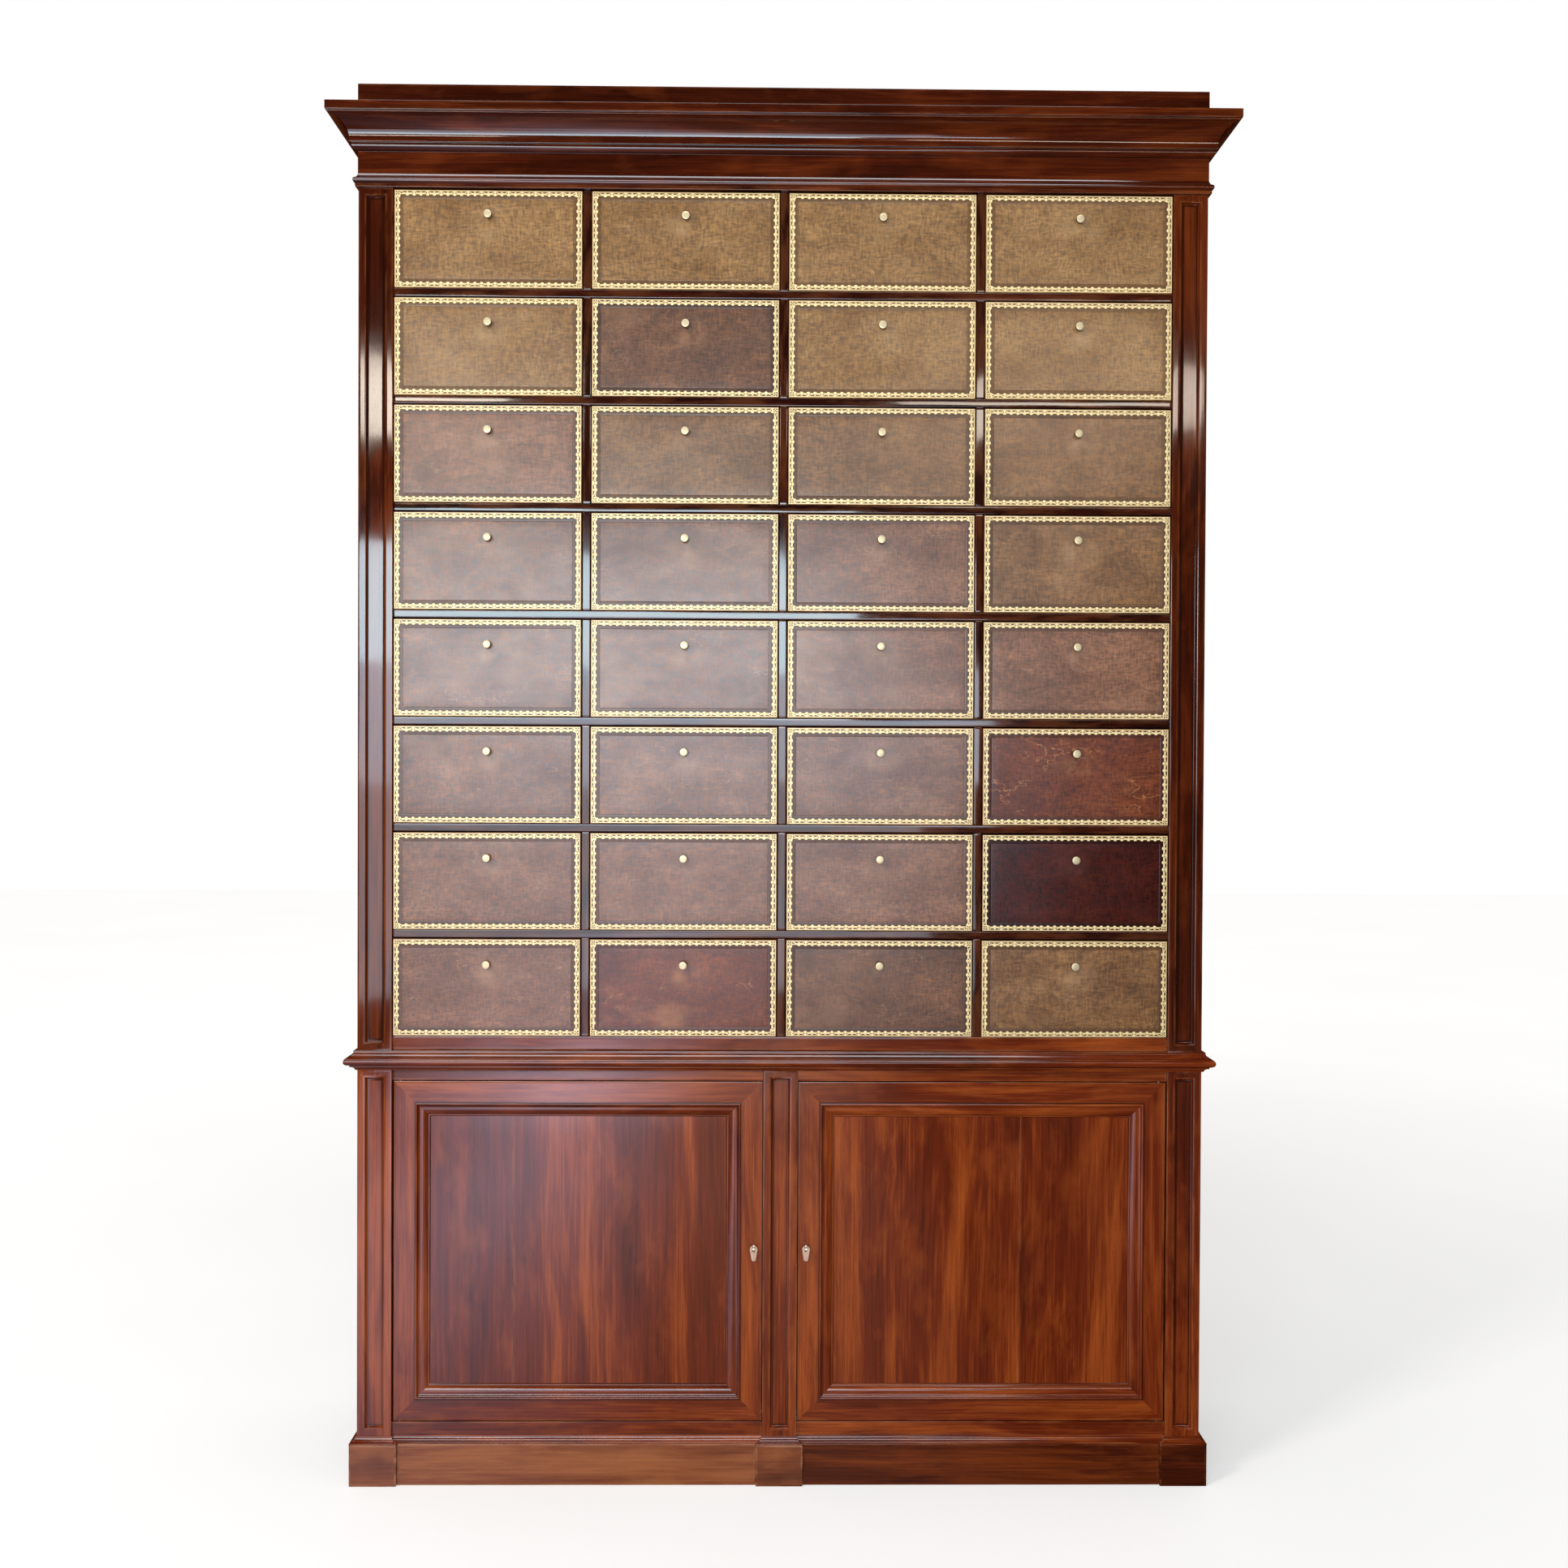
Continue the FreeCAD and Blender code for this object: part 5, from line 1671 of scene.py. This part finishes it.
@dataclass(frozen=True)
class Tooling:
    """The gilt roll round a carton's front: bars and lumps on a line, festoons, leaves and dots outside it."""

    work: Shells
    seed: str
    edge: float = 1.5
    band: float = 10.8
    pitch: float = 26.0
    line: float = 2.0
    line_in: float = 7.0
    outer_line: float = 1.8
    bar: float = 3.2
    bar_start: float = 0.3
    lump: Span = (7.4, 4.4)
    leaf: Span = (6.4, 3.6)
    leaf_in: float = 3.4
    dot: float = 3.0
    dot_share: float = 0.2
    dot_in: float = 1.6
    festoon: float = 1.9
    festoon_gap: float = 1.2
    festoon_points: int = 7
    petal: float = 3.4
    petal_out: float = 2.2
    ring: float = 1.8
    ring_share: float = 0.84
    proud: float = 0.16
    sunk: float = 0.3
    flat: float = 0.8
    boss_rise: float = 1.6
    boss_top: float = 0.75

    def ribbon(self, path: Array, width: float, rise: Rise) -> Shell:
        """A flat ribbon along a path in the roll's own measures: along, inwards and out.

        Args:
            path: the middle of the ribbon, along and inwards.
            width: the ribbon's width.
            rise: its share of the gold's height.

        Returns:
            Its points and faces.
        """
        way = np.gradient(path, axis=0)
        normal = np.stack([-way[:, 1], way[:, 0]], -1) / np.linalg.norm(way, axis=1)[:, None]
        places = np.array([-1.0, -self.flat, self.flat, 1.0])[:, None] * width / 2
        heights = np.array([-self.sunk, rise.value * self.proud, rise.value * self.proud, -self.sunk])
        rings = np.empty((len(path), len(places), 3))
        rings[..., :2] = path[:, None] + places * normal[:, None]
        rings[..., 2] = heights
        return rings.reshape(-1, 3), tube(len(path), len(places))

    def boss(self, middle: Span, size: Span, sides: int) -> Shell:
        """A low boss: an oval of a few sides below the leather, and a smaller one above it.

        Args:
            middle: its place along and inwards.
            size: its length along and inwards.
            sides: how many sides the oval has.

        Returns:
            Its points and faces.
        """
        oval = circle(np.linspace(0.0, math.tau, sides, endpoint=False)) * np.array(size) / 2
        low = np.column_stack([middle + oval, np.full(sides, -self.sunk)])
        high = np.column_stack([middle + self.boss_top * oval, np.full(sides, self.boss_rise * self.proud)])
        return np.concatenate([low, high]), tube(2, sides)

    def motif(self, pitch: float) -> list[Shell]:
        """One bar with its foot, the lump, leaf and dots after it, and the festoon from bar to bar.

        The festoon is half an ellipse that hangs inwards from the outer line.

        Args:
            pitch: the length of the motif.

        Returns:
            Its shells.
        """
        foot, dot, middle = self.band - self.lump[1] / 2, (self.dot, self.dot), pitch / 2
        turn = np.linspace(0.0, math.pi, self.festoon_points)
        hang, reach = self.line_in - self.outer_line - self.festoon_gap, (pitch - self.bar) / 2
        festoon = np.stack([middle - reach * np.cos(turn), self.outer_line + hang * np.sin(turn)], -1)
        along = np.array([(0.0, self.line_in), (pitch, self.line_in)])
        bar = np.array([(0.0, self.bar_start), (0.0, foot)])
        dots = [(share * pitch, self.leaf_in + self.dot_in) for share in (self.dot_share, 1 - self.dot_share)]
        return [
            self.ribbon(bar, self.bar, Rise.BAR),
            self.ribbon(along, self.line, Rise.LINE),
            self.ribbon(festoon, self.festoon, Rise.FESTOON),
            self.boss((0.0, foot), self.lump, 6),
            self.boss((middle, foot), self.lump, 6),
            self.boss((middle, self.leaf_in), self.leaf, 4),
            *(self.boss(place, dot, 4) for place in dots),
        ]

    def corner(self) -> list[Shell]:
        """The square at the start of a side, with a flower of four petals in it.

        Returns:
            Their shells.
        """
        half, out = self.band / 2, self.petal_out
        middle = np.array([self.edge + half, half])
        around = np.array([(-out, 0.0), (out, 0.0), (0.0, -out), (0.0, out)])
        petals = [self.boss(middle + place, (self.petal, self.petal), 6) for place in around]
        ring = half * self.ring_share * np.array([(-1, -1), (1, -1), (1, 1), (-1, 1), (-1, -1)]) + middle
        rises = (Rise.RING, Rise.RING_CROSS) * 2
        return petals + [self.ribbon(ring[i:i + 2], self.ring, rise) for i, rise in enumerate(rises)]

    def run(self, corner: Array, way: Array, inwards: Array, length: float) -> None:
        """Repeats the motif along one side, from its corner square to the next.

        Args:
            corner: the outer corner where the side starts.
            way, inwards: the directions along the side and into the front.
            length: the side's length.
        """
        start = self.edge + self.band
        count = round((length - 2 * start) / self.pitch)
        pitch = (length - 2 * start) / count
        basis = np.array([way, inwards, OUT])
        ends = np.array([(self.edge, self.outer_line / 2), (length - self.edge, self.outer_line / 2)])
        once = [*self.corner(), self.ribbon(ends, self.outer_line, Rise.OUTER_LINE)]
        shells = [(shell, np.zeros(1)) for shell in once]
        shells += [(shell, start + pitch * np.arange(count)) for shell in self.motif(pitch)]
        for (points, faces), places in shells:
            local = points + places[:, None, None] * [1.0, 0.0, 0.0] + [0.0, self.edge, 0.0]
            placed = corner + local.reshape(-1, 3) @ basis
            step = np.arange(len(places))[:, None, None] * len(points)
            repeated = [(group + step).reshape(-1, group.shape[1]) for group in faces]
            self.work.add(placed, repeated, placed + scatter(self.seed), np.zeros(len(placed)))

    def build(self, x: Span, z: Span, face: float) -> None:
        """Adds all four sides, each starting at the corner where the one before ends.

        Args:
            x, z: the limits of the carton's front.
            face: how far forward the leather is.
        """
        corners = np.array([(x[0], face, z[0]), (x[1], face, z[0]), (x[1], face, z[1]), (x[0], face, z[1])])
        ways = (ACROSS, UP, -ACROSS, -UP)
        for i, corner in enumerate(corners):
            length = np.linalg.norm(corners[(i + 1) % 4] - corner)
            self.run(corner, ways[i], ways[(i + 1) % 4], length)


# Paler leathers in the top rows, darker below; some boxes differ.
USUAL_TONES = {1: Leather.TAN, 2: Leather.TAN, 3: Leather.FAWN}
ODD_TONES = {
    (2, 2): Leather.UMBER, (3, 1): Leather.COCOA, (4, 4): Leather.FAWN,
    (6, 4): Leather.RUSSET, (7, 4): Leather.OXBLOOD, (8, 2): Leather.RUSSET,
    (8, 3): Leather.UMBER, (8, 4): Leather.FAWN}


@dataclass(frozen=True)
class Carton(Assembly):
    """One filing box: oak tray, leather front, gilt tooling and brass knob. Rows count down from the top.

    Wear is given by distance from the front's edge, and the knob's section as radii and heights.
    """

    row: int
    column: int
    proud: float = 2.0
    front: float = 8.0
    wall: float = 4.0
    tray_inset: float = 1.0
    tray_ease: float = 0.6
    below_top: float = 6.0
    edge_round: float = 2.0
    bend_points: int = 5
    gilding: Span = (3.2, 12.8)
    blind_line: float = 17.5
    blind_half: float = 0.9
    blind_flat: float = 0.3
    blind_depth: float = 0.3
    cells: tuple[int, int] = (22, 10)
    swell: float = 0.35
    calm: float = 30.0
    waves: tuple[float, ...] = (310.0, 190.0, 120.0)
    wear: tuple[Span, ...] = (
        (0.0, 0.2), (0.6, 0.8), (2.0, 0.1), (3.2, -0.5), (12.8, -0.85), (16.6, -0.55), (17.5, -0.9),
        (18.4, -0.1), (30.0, 0.0))
    turned_in: float = -0.4
    thumb: Span = (30.0, 20.0)
    thumb_below: float = 22.0
    thumb_wear: float = 0.4
    knob_drop: float = 49.0
    knob_sides: int = 24
    knob: tuple[Span, ...] = (
        (5.0, -0.5), (5.2, 0.2), (5.2, 1.2), (4.9, 1.6), (4.1, 2.1), (3.5, 3.2), (3.4, 4.8), (3.6, 6.0),
        (4.4, 6.8), (6.2, 7.4), (7.6, 7.8), (8.0, 8.4), (8.0, 11.8), (7.7, 12.5), (7.1, 12.9), (3.5, 13.1))
    # Painted shade darkens the knob below its face, fading out between these heights.
    knob_clean: Span = (11.8, 12.9)
    knob_dirt: float = -0.9

    def tone(self) -> Leather:
        """The upper rows take paler leathers than the rows below; a few boxes differ from their row."""
        return ODD_TONES.get((self.row, self.column)) or USUAL_TONES.get(self.row, Leather.COCOA)

    def stops(self, span: Span, inner: int) -> Array:
        """Where the lines of the leather's grid cross a side: close at the edges, even between.

        Args:
            span: the side's limits.
            inner: how many lines lie within the blind line.

        Returns:
            The places, in order.
        """
        bend = self.edge_round * (1 - np.cos(np.linspace(0.0, math.pi / 2, self.bend_points)))
        line = self.blind_line + self.blind_half * np.array([-1.0, -self.blind_flat, self.blind_flat, 1.0])
        edge = np.concatenate([bend, self.gilding, line])
        low, high = span[0] + edge, span[1] - edge[::-1]
        return np.concatenate([low, np.linspace(low[-1], high[0], inner + 2)[1:-1], high])

    def depth(self, gx: Array, gz: Array, inset: Array, seed: str) -> Array:
        """How far back the leather lies.

        The depth is that of a quarter circle within the edge's rounding, plus a blind line, a small wedge at
        its distance from the edge, plus a soft swell made of a few seeded waves.

        Args:
            gx, gz: the grid's places.
            inset: how far each lies from the nearest edge.
            seed: names the skin.

        Returns:
            The depth of each place behind the face.
        """
        short = np.clip(self.edge_round - inset, 0.0, None)
        rounding = self.edge_round - np.sqrt(np.clip(self.edge_round**2 - short**2, 0.0, None))
        groove = np.clip(1 + self.blind_flat - np.abs(inset - self.blind_line) / self.blind_half, 0.0, 1.0)
        draw, swell = dice(seed), np.zeros_like(gx)
        for length in self.waves:
            angle, phase = draw.uniform(0.0, math.tau, 2)
            swell += np.sin((gx * math.cos(angle) + gz * math.sin(angle)) * math.tau / length + phase)
        calm = np.clip((inset - self.blind_line) / self.calm, 0.0, 1.0)
        return rounding + self.blind_depth * groove + self.swell * calm * (1 + swell / len(self.waves)) / 2

    def leather(self, work: Shells, x: Span, z: Span, y: Span, seed: str) -> None:
        """Adds the leather front, a grid of depths over its face, closed by its sides and back.

        The wear changes with the distance from the edge, and a bell-shaped patch under the knob is rubbed.

        Args:
            work: takes the shell.
            x, z: the front's limits.
            y: its face and its back.
            seed: names the skin.
        """
        gx, gz = np.meshgrid(self.stops(x, self.cells[0]), self.stops(z, self.cells[1]))
        inset = np.minimum(np.minimum(gx - x[0], x[1] - gx), np.minimum(gz - z[0], z[1] - gz))
        grid = np.stack([gx, y[0] + self.depth(gx, gz, inset, seed), gz], -1).reshape(-1, 3)
        numbers = np.arange(gx.size).reshape(gx.shape)
        rim = np.concatenate([numbers[0, :-1], numbers[:-1, -1], numbers[-1, :0:-1], numbers[:0:-1, 0]])
        behind = grid[rim] * [1.0, 0.0, 1.0] + [0.0, y[1], 0.0]
        points = np.concatenate([grid, behind])
        rear = len(grid) + np.arange(len(rim))
        wall = np.stack([np.roll(rim, -1), rim, rear, np.roll(rear, -1)], -1)
        thumb_z = z[1] - self.knob_drop - self.thumb_below
        reach = np.hypot((gx - sum(x) / 2) / self.thumb[0], (gz - thumb_z) / self.thumb[1])
        worn = np.interp(inset, *np.transpose(self.wear)) + self.thumb_wear * np.exp(-(reach**2))
        rub = np.concatenate([worn.ravel(), np.full(len(rim), self.turned_in)])
        grain = (points - points.mean(0))[:, [0, 2, 1]] + scatter(seed)
        work.add(points, [lattice(*gx.shape), wall, rear[None, ::-1]], grain, rub)

    def build_tray(self, name: str, x: Span, y: Span, z: Span) -> None:
        """Builds the oak tray: bottom, two sides and rear.

        Args:
            name: the box's name.
            x, y, z: the room behind the front.
        """
        tray, ease = Shells(), self.tray_ease
        outer = (x[0] + self.tray_inset, x[1] - self.tray_inset)
        inner = (outer[0] + self.wall, outer[1] - self.wall)
        wall_z = (z[0] + self.wall, z[1] - self.below_top)
        board(tray, outer, y, (z[0], z[0] + self.wall), name + "_bottom", ease, Axis.Y)
        board(tray, (outer[0], inner[0]), y, wall_z, name + "_left", ease, Axis.Y)
        board(tray, (inner[1], outer[1]), y, wall_z, name + "_right", ease, Axis.Y)
        board(tray, inner, (y[1] - self.wall, y[1]), wall_z, name + "_rear", ease, Axis.X)
        tray.piece(name + "_tray", self.finishes.oak, name, "oak")

    def build(self) -> None:
        """Builds and dresses the box."""
        name, finishes = f"carton_r{self.row}c{self.column}", self.finishes
        low, high = node_box(name)
        face = self.plan.grid_front - self.proud
        x, z, back = (low[0], high[0]), (low[2], high[2]), face + self.front
        front, gilding, knob = Shells(), Shells(), Shells()
        self.leather(front, x, z, (face, back), name + "_leather")
        front.piece(name + "_front", finishes.leather[self.tone()], name, "leather", name)
        self.build_tray(name, x, (back, high[1]), z)
        Tooling(gilding, name + "_gilding").build(x, z, face)
        gilding.piece(name + "_gilding", finishes.gold, name, None)
        section, centre = np.array(self.knob), np.array([sum(x) / 2, face, z[1] - self.knob_drop])
        # Painted shade on the knob's flange, neck and side, fading out at its face.
        side_shade = np.interp(section[:, 1], self.knob_clean, (self.knob_dirt, 0.0))
        turned(knob, section, centre, OUT, name + "_knob", self.knob_sides, side_shade)
        knob.piece(name + "_knob", finishes.brass, name, "brass")


class Reach(Enum):
    """What a light shows in."""

    ALL = "shading and polish"
    SHADING = "shading"
    POLISH = "polish"


@dataclass(frozen=True)
class SoftLight:
    """A rectangular soft light that points at the object."""

    name: str
    place: Triple
    aim: Triple
    size: Span
    power: float
    colour: Triple
    reach: Reach = Reach.ALL

    def build(self) -> None:
        """Adds the light."""
        data = bpy.data.lights.new(self.name, "AREA")
        data.shape = "RECTANGLE"
        data.size, data.size_y = (side * MM for side in self.size)
        data.energy = self.power
        data.color = self.colour
        made = linked(self.name, data)
        made.visible_glossy = self.reach is not Reach.SHADING
        made.visible_diffuse = self.reach is not Reach.POLISH
        place = Vector(self.place) * MM
        made.location = place
        made.rotation_euler = (Vector(self.aim) * MM - place).to_track_quat("-Z", "Y").to_euler()


LIGHTS = (
    SoftLight("key", (-3600, -3800, 4300), (0, 0, 1400), (1300, 1300), 130.0, (1.0, 0.97, 0.93), Reach.SHADING),
    SoftLight("sky", (-300, -2200, 4800), (0, -200, 1200), (3200, 1400), 90.0, (0.9, 0.95, 1.0), Reach.POLISH),
    SoftLight("lamp_left", (-1950, -6000, 3450), (0, 0, 1600), (900, 350), 15.0, (1.0, 0.88, 0.74)),
    SoftLight("lamp_right", (1550, -6000, 3450), (0, 0, 1600), (1700, 350), 18.0, (1.0, 0.86, 0.72)),
    SoftLight("window_low", (-875, -6000, 700), (0, 0, 1400), (3650, 1200), 34.0, (0.76, 0.87, 1.0)),
    SoftLight("window", (-700, -6000, 1625), (0, 0, 1400), (4000, 650), 45.0, (0.72, 0.84, 1.0)),
    SoftLight("window_top", (-1100, -5950, 2275), (0, 0, 1400), (3200, 650), 74.0, (0.71, 0.9, 1.0)),
)


@dataclass(frozen=True)
class Studio:
    """The camera, the pale floor and the soft light.

    The fades of the floor's painted reflection are in metres: where each starts and ends, and the strengths
    there.
    """

    camera_place: Triple = (-32.0, -3172.5, 1389.0)
    yaw: float = math.radians(0.684)
    pitch: float = math.radians(-0.663)
    roll: float = math.radians(0.268)
    lens: float = 35.76
    sensor: float = 36.0
    floor_half: float = 14000.0
    floor_lines: int = 9
    ambient: Colour = (0.45, 0.445, 0.44, 1.0)
    background: Colour = (1.0, 1.0, 1.0, 1.0)
    unlit: Colour = (0.0, 0.0, 0.0, 1.0)
    floor_pale: tuple[Colour, Colour] = (paint(228, 227, 225), paint(234, 233, 232))
    floor_cloud: Triple = (0.8, 0.8, 0.8)
    floor_glow: Fade = (1.2, 5.0, 0.42, 0.62)
    # Colours and fades of the painted reflection: the glow that glossy rays see on the floor, standing for a
    # room.
    mirrored_right: Colour = (0.05, 0.04, 0.03, 1.0)
    mirrored_middle: Colour = (1.0, 0.55, 0.42, 1.0)
    mirrored_left: Colour = (2.4, 2.1, 2.65, 1.0)
    right_edge: Span = (0.55, 0.1)
    left_edge: Span = (-0.25, -0.82)
    left_end: Span = (-0.95, -1.9)
    mirror_bands: tuple[Fade, ...] = (
        (-0.4, -2.2, 0.35, 0.95), (-3.0, -3.7, 0.0, 0.85), (-4.6, -5.4, 0.0, -1.3))
    mirror_steep: Fade = (0.38, 0.6, 1.0, 0.25)

    def build_camera(self) -> None:
        """Adds the camera, rolled about the way it looks, pitched from the level and turned by its yaw."""
        data = bpy.data.cameras.new("camera")
        data.lens, data.sensor_width = self.lens, self.sensor
        made = linked("camera", data)
        level = Euler((math.pi / 2 + self.pitch, 0.0, -self.yaw)).to_matrix()
        turn = (level @ Matrix.Rotation(self.roll, 3, "Z")).to_4x4()
        made.matrix_world = Matrix.Translation(Vector(self.camera_place) * MM) @ turn
        bpy.context.scene.camera = made

    def floor_material(self) -> Material:
        """The floor's material. In reflections it shows a painted room floor that glows: bright on the left,
        dark on the right.

        Returns:
            The material.
        """
        material, sketch, shader = new_material("floor_pale")
        place = sketch.out("TexCoord", output="Object")
        x, y = (sketch.out("SeparateXYZ", {0: place}, axis) for axis in (0, 1))
        ray = sketch.node("LightPath").outputs
        glossy, seen = (Signal(sketch, ray[name]) for name in ("Is Glossy Ray", "Is Camera Ray"))
        cloud = place.noise(self.floor_cloud, 3.0).fade(0.3, 0.7)
        # Glossy rays see the floor black, with the painted reflection glowing over it.
        colour = sketch.blend(cloud, *self.floor_pale).mixed(glossy, self.unlit)
        painted_reflection = sketch.blend(x.fade(*self.right_edge), self.mirrored_right, self.mirrored_middle)
        painted_reflection = painted_reflection.mixed(x.fade(*self.left_edge), self.mirrored_left)
        painted_reflection = painted_reflection.mixed(x.fade(*self.left_end), self.mirrored_right)
        away = sketch.out("VectorMath", {0: place}, "Value", operation="LENGTH")
        near, far, distant = (y.fade(*band) for band in self.mirror_bands)
        towards = sketch.out("NewGeometry", output="Incoming")
        steep = sketch.out("SeparateXYZ", {0: towards}, 2).fade(*self.mirror_steep)
        # Camera rays see an even pale glow; glossy rays see the painted reflection, faded by distance and
        # steepness.
        strength = seen * away.fade(*self.floor_glow) + glossy * (steep * (near + far + distant))
        sketch.feed(shader, {"Base Color": colour, "Roughness": 0.8, "Specular IOR Level": 0.0})
        glow = sketch.blend(glossy, self.background, painted_reflection)
        sketch.feed(shader, {"Emission Color": glow, "Emission Strength": strength})
        material.cycles.emission_sampling = "NONE"
        return material

    def build_floor(self) -> None:
        """Adds a flat pale floor."""
        edge = np.linspace(-self.floor_half, self.floor_half, self.floor_lines) * MM
        gx, gy = np.meshgrid(edge, edge)
        points = np.stack([gx, gy, np.zeros_like(gx)], -1).reshape(-1, 3)
        mesh = bpy.data.meshes.new("floor")
        mesh.from_pydata(points.tolist(), [], lattice(*gx.shape).tolist())
        mesh.materials.append(self.floor_material())
        made = linked("floor", mesh)

    def build_world(self) -> None:
        """An even light that polish doesn't mirror, and a pale background."""
        world = bpy.data.worlds.new("studio")
        world.use_nodes = True
        world.node_tree.nodes.clear()
        sketch = Sketch(world.node_tree)
        seen = sketch.out("LightPath", output="Is Camera Ray")
        colour = sketch.blend(seen, self.ambient, self.background)
        shader = sketch.out("Background", {"Color": colour, "Strength": 1.0})
        sketch.node("OutputWorld", {"Surface": shader})
        bpy.context.scene.world = world
        world.cycles_visibility.glossy = False
        world.cycles.sampling_method = "NONE"

    def build(self) -> None:
        """Sets up the studio."""
        bpy.context.scene.view_settings.view_transform = "Standard"
        self.build_camera()
        self.build_floor()
        self.build_world()
        for light in LIGHTS:
            light.build()


def dress_kept_nodes(finishes: Finishes) -> None:
    """Gives the steel finish to the nodes of the frame that stay as they are.

    Args:
        finishes: the materials.
    """
    for name in ("pivot_pins", "bolt_left", "bolt_right"):
        for slot in frame["nodes"][name].material_slots:
            slot.material = finishes.steel
        log.info("%s: kept, in steel", name)


def main() -> None:
    """Builds the sub-assemblies in order, then the studio."""
    logging.basicConfig(level=logging.INFO, format="%(name)s: %(message)s")
    plan, finishes = Plan(), Finishes()
    case = (Plinth, BaseMoulding, Pilasters, CaseSides, Cupboard, BackBoards, Waist, Pigeonholes, Entablature)
    for kind in case:
        kind(plan, finishes).build()
    for hand, seam in ((Hand.LEFT, 0.3), (Hand.RIGHT, 0.62)):
        Door(plan, finishes, hand, (seam,)).build()
        LockKey(plan, finishes, hand).build()
    for row in range(1, Pigeonholes.rows + 1):
        for column in range(1, Pigeonholes.columns + 1):
            Carton(plan, finishes, row, column).build()
    dress_kept_nodes(finishes)
    Studio().build()


if __name__ == "__main__":
    main()
